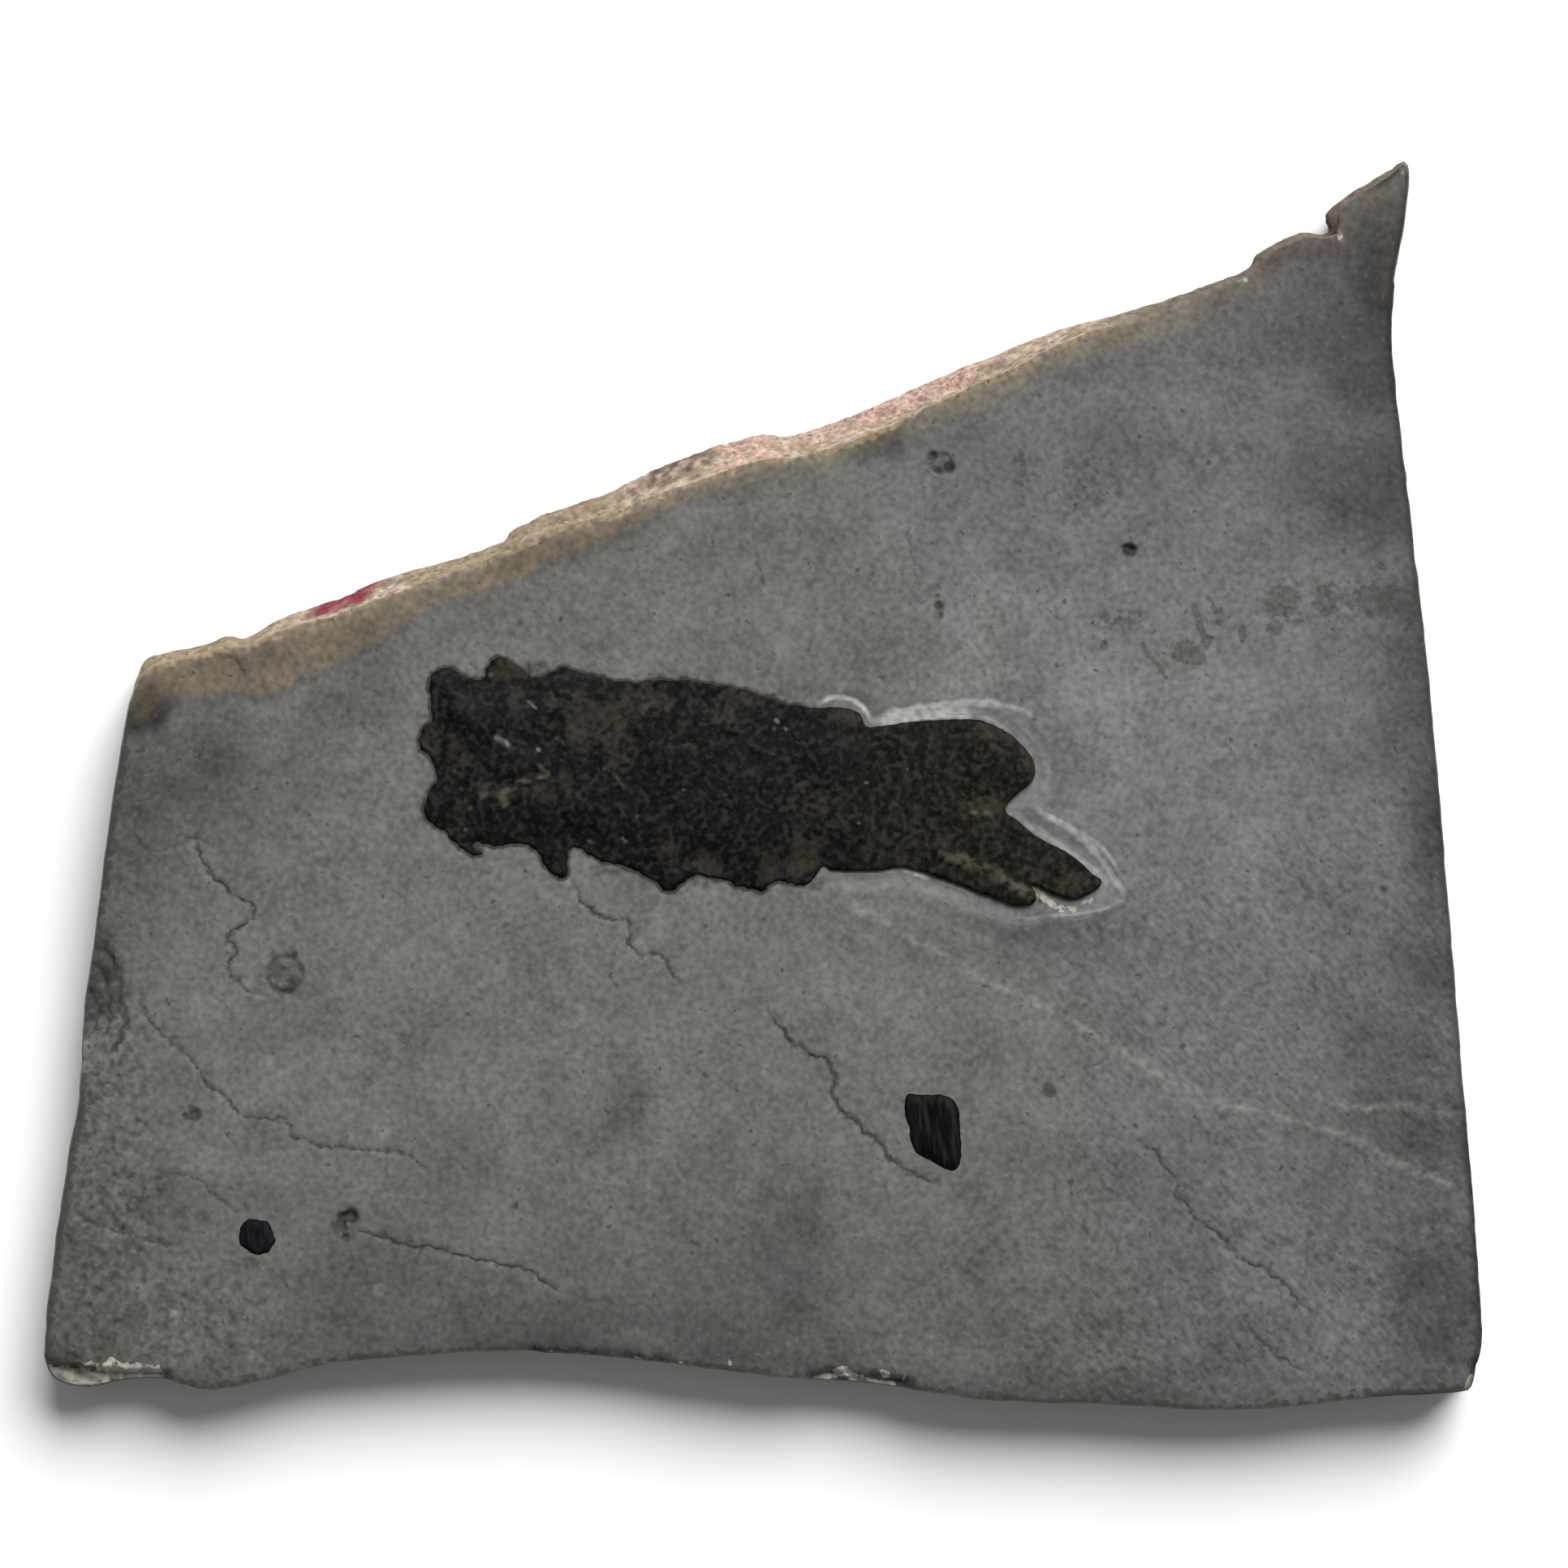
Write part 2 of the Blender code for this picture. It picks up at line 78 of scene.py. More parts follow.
# How far the stone's layers stand back from the plan, by height.
LAYERS = (
    (0.0, 1.9), (0.8, 1.0), (2.5, 0.4), (2.8, 1.5), (4.5, 1.0), (5.0, 0.0),
    (7.3, 0.2), (7.6, 1.2), (10.0, 0.6),
)
LAYER_RUN = 26.0  # length over which a layer comes and goes
LAYER_SAG = 0.7
# Chips broken from the upper edge: both ends, reach and depth.
EDGE_CHIPS = (
    ((-107.0, -88.2), (-89.5, -89.2), 3.0, 1.9),
    ((8.0, -88.9), (20.0, -90.3), 3.0, 1.7),
    ((-34.0, -84.7), (-14.0, -86.4), 1.6, 1.2),
    ((106.5, -87.0), (105.0, -91.0), 2.6, 2.4),
    ((-101.5, -25.5), (-102.5, -37.5), 6.5, 1.0),
    ((71.0, 77.5), (73.0, 80.5), 2.2, 1.6),
    ((-22.0, 42.0), (-16.5, 44.0), 2.6, 1.2),
)
FISH_PLAN = (
    (-49.3, 13.0), (-49.2, 15.7), (-48.5, 16.8), (-46.9, 17.1), (-45.4, 16.6), (-44.5, 15.9),
    (-41.5, 15.6), (-40.9, 17.1), (-39.4, 18.7), (-37.6, 18.1), (-35.0, 16.3), (-33.6, 15.8),
    (-31.8, 16.4), (-28.9, 17.0), (-26.2, 16.1),
    (-20.0, 15.0), (-15.0, 15.3), (-11.2, 15.2), (-6.9, 14.6), (-2.9, 13.8), (2.0, 12.2),
    (6.0, 11.3), (11.1, 11.3), (14.1, 10.5), (15.1, 8.6), (17.1, 8.5), (21.9, 9.2),
    (27.7, 9.5), (31.7, 9.5), (34.2, 8.6), (36.9, 7.0), (39.0, 4.9), (40.1, 2.8),
    (39.9, 0.7), (38.6, -0.6), (36.6, -2.3), (35.8, -3.9), (37.6, -5.5), (40.7, -8.0),
    (43.9, -9.6), (46.4, -11.2), (48.5, -13.2), (50.0, -14.5), (48.0, -16.3), (45.6, -17.0),
    (42.9, -16.3), (39.6, -14.9), (40.2, -16.2), (40.1, -17.4), (37.8, -18.0), (33.7, -16.7),
    (28.1, -14.6), (24.5, -13.3), (20.3, -12.2), (17.1, -12.7), (11.6, -12.8), (9.7, -12.6),
    (8.9, -12.2), (7.5, -13.8), (5.8, -15.0), (2.1, -14.2), (0.1, -15.6), (-3.2, -15.3),
    (-6.6, -14.1), (-10.1, -13.5), (-12.6, -15.0), (-13.4, -15.8), (-14.5, -15.7),
    (-16.3, -14.3), (-20.0, -12.2), (-24.0, -11.4), (-26.7, -9.7), (-28.0, -9.1),
    (-28.9, -10.0), (-29.3, -13.7), (-30.3, -13.9), (-32.1, -12.4), (-33.2, -10.2),
    (-34.6, -9.1), (-37.0, -8.8), (-39.2, -9.1), (-41.4, -8.8), (-42.9, -8.8), (-42.5, -9.6),
    (-41.8, -10.4), (-43.7, -10.2), (-44.9, -9.3), (-46.8, -7.5), (-48.9, -5.9), (-50.3, -4.2),
    (-49.7, -1.7), (-48.3, 0.4), (-48.7, 2.5), (-49.1, 4.0), (-50.5, 5.1), (-50.9, 6.5),
    (-50.2, 8.4), (-49.1, 9.3),
)
FISH_EDGE = 0.2  # how far the fish stands out of the face at its edge
FISH_CROWN = 0.95  # how far it rises from there to the middle of its body
TAIL_CROWN = 0.45
TAIL_START, TAIL_END = 6.0, 22.0
SHOULDER = 7.0  # distance inside the outline where the rise ends
RIM = 2.0  # distance over which the lumps and the hollows start
# Hollows and lumps: centre, reach and depth or height.
FISH_HOLLOWS = (
    ((-25.0, 9.0), 5.5, 0.5), ((-24.5, 3.5), 4.0, 0.4), ((-17.0, 13.0), 3.0, 0.4),
    ((-5.0, 11.5), 3.0, 0.4), ((-10.0, -11.5), 4.0, 0.4), ((5.5, -11.5), 3.5, 0.4),
    ((-38.0, 16.5), 3.0, 0.3), ((-49.5, 6.2), 2.5, 0.2),
)
FISH_LUMPS = (
    ((-44.0, 9.0), 5.0, 0.45), ((-36.0, 3.0), 5.0, 0.4), ((-31.0, 11.0), 4.0, 0.35),
    ((-14.0, 4.0), 6.0, 0.4), ((-2.0, -3.0), 6.0, 0.35), ((9.0, 4.0), 5.0, 0.3),
    ((-27.0, -4.0), 5.0, 0.4), ((24.0, 5.0), 4.0, 0.25), ((33.0, 3.0), 4.0, 0.2),
)
TROUGH_START, TROUGH_FULL = 5.0, 14.0  # x between which the trough round the tail deepens
TROUGH_REACH = 3.4
TROUGH_FLOOR = 1.0
TROUGH_DEPTH = 0.45
CHIP_PLAN = (
    (21.2, -46.1), (23.3, -46.0), (26.3, -46.0), (27.9, -46.6), (28.8, -48.2), (29.1, -52.0),
    (29.1, -55.5), (28.4, -57.1), (27.2, -57.1), (24.6, -55.7), (22.6, -54.5), (21.6, -52.2),
    (21.6, -51.0), (20.9, -48.8),
)
SMALL_CHIP_PLAN = (
    (-77.5, -66.4), (-76.8, -64.8), (-75.3, -64.3), (-73.2, -65.0), (-72.4, -67.2),
    (-72.8, -68.6), (-74.6, -69.6), (-77.2, -68.4),
)
CHIP_PROUD = 0.3
SMALL_CHIP_PROUD = 0.15
CHIP_SHOULDER = 1.5
FACE_ROLL, FACE_ROLL_SIZE = 0.35, 55.0
FACE_DIMPLE, FACE_DIMPLE_SIZE = 0.12, 17.0

# ---------------------------------------------------------------- fine shape, only here

BRIM_LAYER = (12.0, 0.4)  # goes on from LAYERS: the height of the brim, and its set-back
FOSSIL_GAP = 0.03  # hairline round a fossil piece in its pocket
SIDE_STEP = 0.8  # spacing of the points round the slab
FACE_STEP = 0.90  # spacing over its face
FINE_STEP = 0.32  # spacing near the fish, the fragments and the pits
UNDER_STEP = 2.8  # spacing on the underside and the pockets' floors
RELIEF_STEP = 0.3  # spacing over the fish
CHIP_STEP = 0.25  # spacing over the fragments
MARK_STEP = 0.6  # spacing of the points along the strands, crusts and streaks
ROW_GAP = 0.33  # gap between the face's grid and the rows of points along the cracks and veins
ROW_SPACING = 0.2  # gap between the points of those rows
CLOSEST = 0.12  # smallest gap between two points of the face
GRID_DRIFT = 0.25  # share of a step by which a grid's points are moved, so that no lattice shows
MITRE_LIMIT = 0.6

# Cracks in the face: width, depth and the points each passes through.
CRACKS = (
    (0.34, 0.30, ((-84.2, -8.0), (-82.8, -11.6), (-80.0, -15.4), (-76.6, -17.2), (-75.1, -18.7),
                  (-77.0, -20.6), (-79.0, -22.8), (-78.0, -24.8), (-79.0, -26.8), (-76.4, -30.8))),
    (0.26, 0.14, ((-93.3, -5.0), (-92.6, -8.4), (-90.0, -10.0), (-86.2, -9.0), (-84.4, -7.9),
                  (-82.2, -9.0))),
    (0.28, 0.14, ((-76.4, -30.8), (-75.2, -31.0), (-73.4, -31.5))),
    (0.30, 0.22, ((-92.6, -30.4), (-91.2, -34.4), (-88.0, -38.0), (-85.0, -40.4), (-82.2, -44.4),
                  (-79.8, -46.2), (-76.8, -49.0), (-73.6, -49.4), (-70.4, -50.0), (-69.4, -52.2),
                  (-66.6, -53.4), (-60.5, -54.0), (-53.2, -54.8), (-50.2, -57.0))),
    (0.34, 0.28, ((-28.4, -14.6), (-27.0, -17.4), (-24.3, -19.6), (-20.4, -20.5), (-19.8, -23.6),
                  (-18.6, -25.2), (-15.4, -25.4), (-13.9, -27.6), (-12.4, -29.2))),
    (0.30, 0.26, ((-60.0, -66.3), (-56.4, -67.0), (-53.4, -68.2), (-49.0, -68.4), (-45.0, -69.8),
                  (-38.4, -71.0), (-35.2, -72.0), (-33.4, -73.4), (-30.6, -75.0))),
    (0.40, 0.34, ((0.4, -33.6), (3.0, -36.4), (5.0, -38.9), (8.4, -40.4), (10.5, -43.0),
                  (10.2, -45.6), (11.2, -47.9), (13.4, -50.1), (16.2, -52.6), (18.6, -55.2),
                  (22.2, -57.8), (25.6, -59.2))),
    (0.30, 0.24, ((56.0, -53.0), (60.2, -57.4), (61.4, -61.0), (64.0, -64.4), (67.2, -66.6),
                  (69.6, -69.6), (73.2, -71.4), (76.2, -73.4), (80.4, -77.8))),
    (0.30, 0.22, ((71.4, -80.8), (73.6, -82.6), (76.0, -84.6), (80.4, -87.0))),
    (0.28, 0.16, ((-93.4, -64.9), (-92.0, -61.4), (-90.6, -58.6), (-85.0, -57.8), (-81.5, -60.3),
                  (-78.0, -63.5))),
    (0.28, 0.18, ((-101.5, -63.8), (-98.4, -65.4), (-94.2, -66.6), (-91.0, -67.4), (-86.6, -68.4))),
    (0.26, 0.12, ((-94.2, -66.6), (-92.6, -69.4), (-91.8, -72.6))),
    (0.34, 0.16, ((21.2, 39.0), (21.4, 35.6), (22.2, 33.2), (23.2, 31.6))),
    (0.30, 0.10, ((-1.2, 35.6), (-1.0, 33.0), (-0.4, 30.4), (-0.2, 28.2))),
    (0.50, 0.38, ((-99.4, -24.5), (-96.9, -25.2), (-95.8, -27.7), (-95.1, -31.2), (-94.4, -34.7),
                  (-95.2, -37.8), (-97.6, -40.8))),
    (0.42, 0.28, ((-99.6, -26.6), (-97.8, -28.2), (-97.0, -31.0), (-96.6, -34.6), (-97.8, -38.0))),
    (0.36, 0.22, ((-100.0, -30.6), (-98.8, -32.2), (-98.4, -35.0), (-99.6, -37.2))),
)
# Pale healed veins and scratches: width, strength and points.
PALE_LINES = (
    (0.30, 0.46, ((10.4, -16.2), (17.0, -20.0), (25.2, -24.6), (32.5, -29.0), (38.5, -31.6),
                  (44.4, -34.4), (52.7, -39.5), (57.1, -42.4), (60.7, -44.2), (64.4, -46.1))),
    (0.26, 0.52, ((64.4, -46.1), (68.8, -47.5), (74.6, -48.6), (79.1, -50.1), (84.2, -51.6),
                  (87.8, -52.7), (91.5, -54.8), (95.2, -56.7), (99.6, -58.5), (104.8, -61.4))),
    (0.24, 0.42, ((78.3, -45.3), (83.5, -46.8), (87.8, -47.9), (93.7, -47.5), (98.1, -48.3),
                  (104.2, -49.0))),
    (0.90, 0.16, ((50.0, -38.6), (57.0, -42.0), (64.0, -46.4), (70.0, -48.0))),
    (0.80, 0.22, ((-87.4, -33.4), (-84.2, -32.6), (-81.6, -33.6), (-80.0, -36.4), (-78.4, -37.6))),
    (0.40, 0.26, ((-94.2, -74.0), (-91.0, -74.6), (-88.0, -76.8))),
    (0.30, 0.22, ((19.5, -40.4), (22.8, -42.2), (26.5, -44.0))),
    (0.40, 0.20, ((6.5, -29.0), (12.5, -33.5), (16.5, -37.5))),
)
# Bright scraped strands of the trough: half width, strength and points.
HALO_STRANDS = (
    (0.36, 0.85, ((8.0, 11.9), (10.1, 12.8), (12.1, 12.7), (13.8, 12.1), (15.1, 10.8), (16.2, 9.2))),
    (0.80, 0.72, ((16.2, 9.0), (18.8, 9.8), (21.2, 10.1), (24.0, 10.5), (27.0, 10.9), (31.4, 11.0))),
    (0.34, 0.80, ((16.6, 8.6), (20.0, 9.2), (24.0, 9.8), (28.0, 10.0), (31.0, 9.8))),
    (0.50, 0.55, ((40.0, -6.2), (42.6, -8.2), (44.7, -9.7), (47.0, -11.4), (49.1, -13.0), (49.9, -14.6))),
    (0.62, 1.00, ((17.2, 9.7), (18.8, 10.4), (21.2, 10.9), (23.9, 11.3), (26.5, 11.6), (28.9, 11.8),
                  (31.3, 12.0), (33.3, 11.9), (35.8, 11.3))),
    (0.26, 0.45, ((31.9, 10.1), (33.4, 9.6), (34.9, 8.7), (36.5, 7.6))),
    (0.38, 0.60, ((34.4, 11.7), (37.3, 11.2), (39.1, 10.6), (40.2, 9.6))),
    (0.55, 0.24, ((34.8, 11.0), (37.0, 9.8), (39.2, 8.0), (41.0, 5.6), (41.9, 3.0), (41.9, 0.8),
                  (41.0, -1.2))),
    (0.30, 0.45, ((36.0, -3.8), (36.6, -4.4))),
    (0.50, 0.80, ((40.2, -3.7), (41.8, -4.8), (43.3, -5.4), (45.1, -6.4), (46.6, -7.6))),
    (0.54, 0.74, ((46.0, -7.1), (48.1, -9.1), (49.7, -10.9), (50.9, -12.4), (51.8, -13.8),
                  (52.7, -15.3), (53.4, -16.5))),
    (0.28, 0.45, ((46.4, -6.7), (48.7, -8.2), (50.6, -10.0), (52.0, -12.1), (52.9, -14.0))),
    (0.45, 0.30, ((37.6, -4.9), (40.9, -7.4), (43.9, -9.0), (46.6, -10.9), (48.9, -13.0),
                  (50.6, -14.6), (49.6, -16.2))),
    (0.26, 0.42, ((53.5, -17.0), (51.8, -17.8), (49.9, -18.6), (48.1, -18.9), (45.7, -19.2),
                  (43.3, -19.5), (41.6, -19.4))),
    (0.22, 0.20, ((42.0, -19.6), (38.7, -19.8), (36.3, -18.9))),
    (0.24, 0.30, ((10.5, -13.1), (14.0, -13.2), (17.4, -13.1), (20.3, -12.6))),
    (0.36, 0.90, ((20.0, -12.6), (21.6, -12.9), (23.4, -13.6), (24.8, -14.0))),
    (0.24, 0.28, ((24.6, -13.9), (28.4, -15.2), (31.0, -16.3))),
)
# Cream crusts, mostly on the broken edges: half width, strength and points.
CRUSTS = (
    (0.55, 0.95, ((-105.9, -86.6), (-105.4, -87.3))),
    (1.20, 0.95, ((-104.9, -87.6), (-101.6, -87.8), (-98.0, -87.3), (-94.4, -86.9), (-90.4, -87.5))),
    (0.90, 1.00, ((-98.6, -87.0), (-95.0, -86.8), (-92.0, -86.7), (-89.8, -87.2))),
    (0.36, 0.90, ((-104.2, -87.5), (-102.4, -87.7), (-100.8, -87.0))),
    (0.30, 0.62, ((-100.9, -85.9), (-99.2, -85.6), (-97.8, -86.2), (-96.8, -87.0))),
    (0.32, 0.70, ((-102.1, -88.4), (-99.4, -88.2), (-97.2, -87.6), (-95.4, -87.0))),
    (0.50, 0.90, ((-96.6, -85.2), (-96.0, -86.2), (-95.0, -86.9))),
    (0.42, 1.00, ((-95.2, -86.8), (-93.8, -86.4), (-92.5, -86.0), (-91.2, -86.7), (-90.0, -87.5),
                  (-89.2, -88.1))),
    (0.26, 0.80, ((-89.6, -85.9), (-89.5, -86.5))),
    (0.40, 0.90, ((7.6, -88.0), (9.4, -87.7), (10.8, -87.5))),
    (0.62, 0.95, ((10.9, -86.9), (12.0, -87.0), (13.2, -87.7), (14.2, -88.0))),
    (0.40, 0.95, ((14.2, -88.1), (16.4, -88.6), (19.2, -88.9))),
    (0.46, 0.80, ((17.6, -87.1), (18.2, -87.4))),
    (0.22, 0.80, ((20.8, -87.5), (20.7, -88.2))),
    (0.38, 0.70, ((-4.9, -85.3), (-4.9, -85.6))),
    (0.28, 0.80, ((-14.6, -85.5), (-11.6, -85.9))),
    (0.34, 0.62, ((-19.4, -85.0), (-16.8, -85.2))),
    (0.28, 0.60, ((-33.0, -83.9), (-26.0, -84.4))),
    (0.30, 0.66, ((-2.8, -87.0), (0.4, -87.3))),
    (0.24, 0.56, ((1.2, -87.6), (6.3, -88.1))),
    (0.80, 0.95, ((105.0, -88.4), (104.4, -89.8))),
    (0.80, 0.90, ((94.5, 91.8), (95.2, 90.6))),
    (0.45, 0.66, ((85.2, 80.9), (84.9, 81.7))),
    (0.50, 0.60, ((70.4, 74.4), (71.2, 74.6))),
    (0.50, 0.74, ((39.5, -15.1), (40.9, -16.2), (42.3, -17.5), (43.8, -18.4), (45.8, -18.5))),
    (0.34, 0.66, ((45.6, -18.2), (47.4, -17.6), (48.8, -16.8))),
)
# Brown-grey stains with crisp uneven edges: centre, half width, half height and strength.
STAINS = (
    ((62.3, 19.5), 2.0, 1.7, 1.0), ((63.6, 18.6), 1.8, 1.0, 0.9), ((65.5, 21.0), 0.9, 0.9, 0.9),
    ((67.4, 24.8), 0.7, 1.3, 0.9), ((76.4, 26.9), 2.9, 2.5, 0.80), ((75.5, 23.2), 1.3, 1.1, 0.85),
    ((79.0, 24.1), 1.0, 0.6, 0.8), ((83.2, 27.4), 2.2, 2.6, 0.74), ((91.5, 32.2), 0.9, 0.8, 0.7),
    ((91.2, 27.2), 4.6, 2.6, 0.78), ((96.0, 27.0), 2.6, 3.4, 0.66), ((70.8, 22.2), 0.6, 1.2, 0.8),
    ((52.6, 24.4), 5.2, 1.5, 0.58), ((50.3, 20.4), 0.6, 0.8, 0.8), ((38.2, 46.4), 1.6, 4.6, 0.48),
    ((46.6, 43.0), 5.0, 4.2, 0.46), ((26.2, 47.4), 1.8, 1.5, 0.62), ((-70.8, -28.2), 2.6, 2.8, 0.66),
    ((-18.8, -47.6), 1.2, 2.6, 0.55), ((26.0, 26.0), 0.7, 1.8, 0.62), ((42.2, -45.2), 1.1, 1.4, 0.60),
    ((-76.0, -71.0), 1.6, 1.4, 0.50), ((77.0, -11.0), 0.8, 0.8, 0.45), ((-53.0, -38.0), 2.0, 1.6, 0.50),
)
# The same as streaks: half width, strength and points.
STAIN_STREAKS = (
    (0.50, 0.9, ((63.6, 26.3), (64.3, 24.6), (64.7, 22.8), (65.6, 21.2))),
    (0.42, 0.8, ((65.8, 27.5), (66.4, 26.2), (67.2, 25.0))),
    (0.36, 0.8, ((56.0, 20.6), (57.2, 18.8), (58.8, 17.0), (59.6, 15.8))),
)
# Dark rock at the left edge and by the round mark, and painted shadow beside the fish's body: centre, half
# sizes and strength.
SOOT_AND_SHADOW = (
    ((-100.0, -28.0), 1.8, 5.5, 0.58), ((-70.3, -30.5), 1.1, 0.7, 0.7), ((-68.7, -27.4), 0.5, 1.3, 0.5),
    ((-33.4, 17.0), 2.8, 1.5, 0.7), ((-42.8, 16.8), 1.6, 1.2, 0.5), ((-23.5, -12.6), 4.0, 1.3, 0.6),
    ((-9.0, -14.6), 2.4, 1.3, 0.6), ((7.4, -14.8), 2.4, 1.3, 0.6), ((-50.6, 9.6), 1.2, 2.6, 0.5),
    ((-14.0, 15.8), 9.0, 0.9, 0.5), ((3.0, 12.8), 5.0, 0.9, 0.45),
)

# Pits: centre, reach, depth and darkness.
PITS = (
    ((54.0, 34.6), 1.3, 0.70, 1.0), ((53.1, 35.0), 0.6, 0.25, 0.55), ((54.7, 34.8), 0.8, 0.3, 0.7),
    ((25.0, 48.5), 1.0, 0.45, 0.80), ((27.4, 46.8), 1.1, 0.50, 0.85), ((25.9, 46.3), 0.8, 0.3, 0.6),
    ((26.6, 48.4), 0.6, 0.25, 0.5), ((25.9, 26.4), 0.8, 0.35, 0.75), ((25.7, 27.8), 0.5, 0.2, 0.6),
    ((26.1, 24.9), 0.5, 0.2, 0.6), ((-61.0, -63.8), 1.4, 0.60, 1.0), ((-62.2, -64.2), 1.2, 0.5, 1.0),
    ((-62.3, -65.6), 0.9, 0.35, 0.7), ((-61.8, -67.0), 0.8, 0.3, 0.75), ((-63.4, -65.4), 1.0, 0.2, 0.5),
    ((-84.2, -48.9), 1.2, 0.35, 0.8), ((-85.5, -49.2), 0.7, 0.2, 0.7), ((-84.7, -47.9), 0.6, 0.2, 0.5),
    ((42.2, -45.4), 1.2, 0.20, 0.45), ((27.3, -42.0), 0.8, 0.15, 0.35), ((40.2, -43.9), 0.6, 0.1, 0.3),
    ((-8.6, -74.8), 1.1, 0.15, 0.35), ((-37.0, -62.5), 0.6, 0.15, 0.4), ((-0.2, 29.9), 0.6, 0.2, 0.5),
    ((67.8, -57.6), 0.7, 0.15, 0.4), ((-100.2, -52.0), 0.8, 0.2, 0.5), ((-96.4, -52.4), 0.7, 0.2, 0.5),
    ((-38.3, -21.0), 0.5, 0.1, 0.4), ((52.6, 42.8), 0.6, 0.1, 0.4), ((-99.2, -86.5), 0.6, 0.3, 0.9),
    ((-69.4, -25.2), 0.7, 0.2, 0.7), ((-68.4, -27.4), 0.6, 0.2, 0.7), ((-69.8, -29.6), 0.8, 0.2, 0.6),
    ((-72.6, -25.0), 0.5, 0.1, 0.5), ((-71.0, -27.2), 0.6, 0.1, 0.4), ((-98.6, -74.8), 0.9, 0.2, 0.6),
    ((-100.6, -73.0), 0.7, 0.2, 0.5), ((-99.6, -77.0), 0.6, 0.2, 0.5), ((-102.4, -84.6), 1.0, 0.2, 0.6),
)
# Round marks with a dark rim: centre, radius, width and darkness.
RINGS = (
    ((-70.8, -28.2), 2.6, 0.6, 0.80), ((-97.0, -45.3), 1.0, 0.35, 0.45),
    ((26.2, 47.4), 1.5, 0.45, 0.5), ((-79.0, 17.2), 1.4, 0.3, 0.15),
)
# Pale spots: centre, reach and strength.
PALE_SPOTS = (
    ((53.0, 39.2), 0.45, 0.9), ((-86.9, -78.2), 0.6, 0.8), ((-70.2, -74.0), 0.4, 0.6),
    ((-56.0, -51.6), 1.2, 0.25), ((-73.0, -41.0), 1.0, 0.25), ((-82.5, -33.6), 2.6, 0.16),
    ((-18.0, -24.0), 1.2, 0.30), ((12.5, -30.5), 1.6, 0.25), ((9.0, -26.8), 0.9, 0.25),
    ((-104.8, -78.0), 0.5, 0.8), ((-103.8, -79.7), 0.4, 0.7), ((-105.2, -81.6), 0.5, 0.8),
    ((-102.6, -77.2), 0.4, 0.6), ((-92.0, -74.5), 2.6, 0.16), ((-57.0, -74.8), 0.9, 0.3),
    ((-23.0, -64.8), 1.6, 0.15), ((4.0, -59.6), 0.7, 0.2), ((-68.8, -63.6), 0.5, 0.4),
)
# Mottled rock: centre, half width, half height and strength.
MOTTLED = (
    ((-99.0, -32.5), 5.0, 9.5, 1.0), ((-98.0, -58.0), 9.0, 24.0, 0.9), ((-90.0, -80.0), 18.0, 10.0, 0.75),
    ((103.0, -40.0), 8.0, 46.0, 0.40), ((92.0, 27.0), 7.0, 5.0, 0.55), ((80.0, 26.0), 8.0, 4.0, 0.45),
    ((46.0, 44.0), 9.0, 6.0, 0.4), ((60.0, -78.0), 50.0, 14.0, 0.3),
)
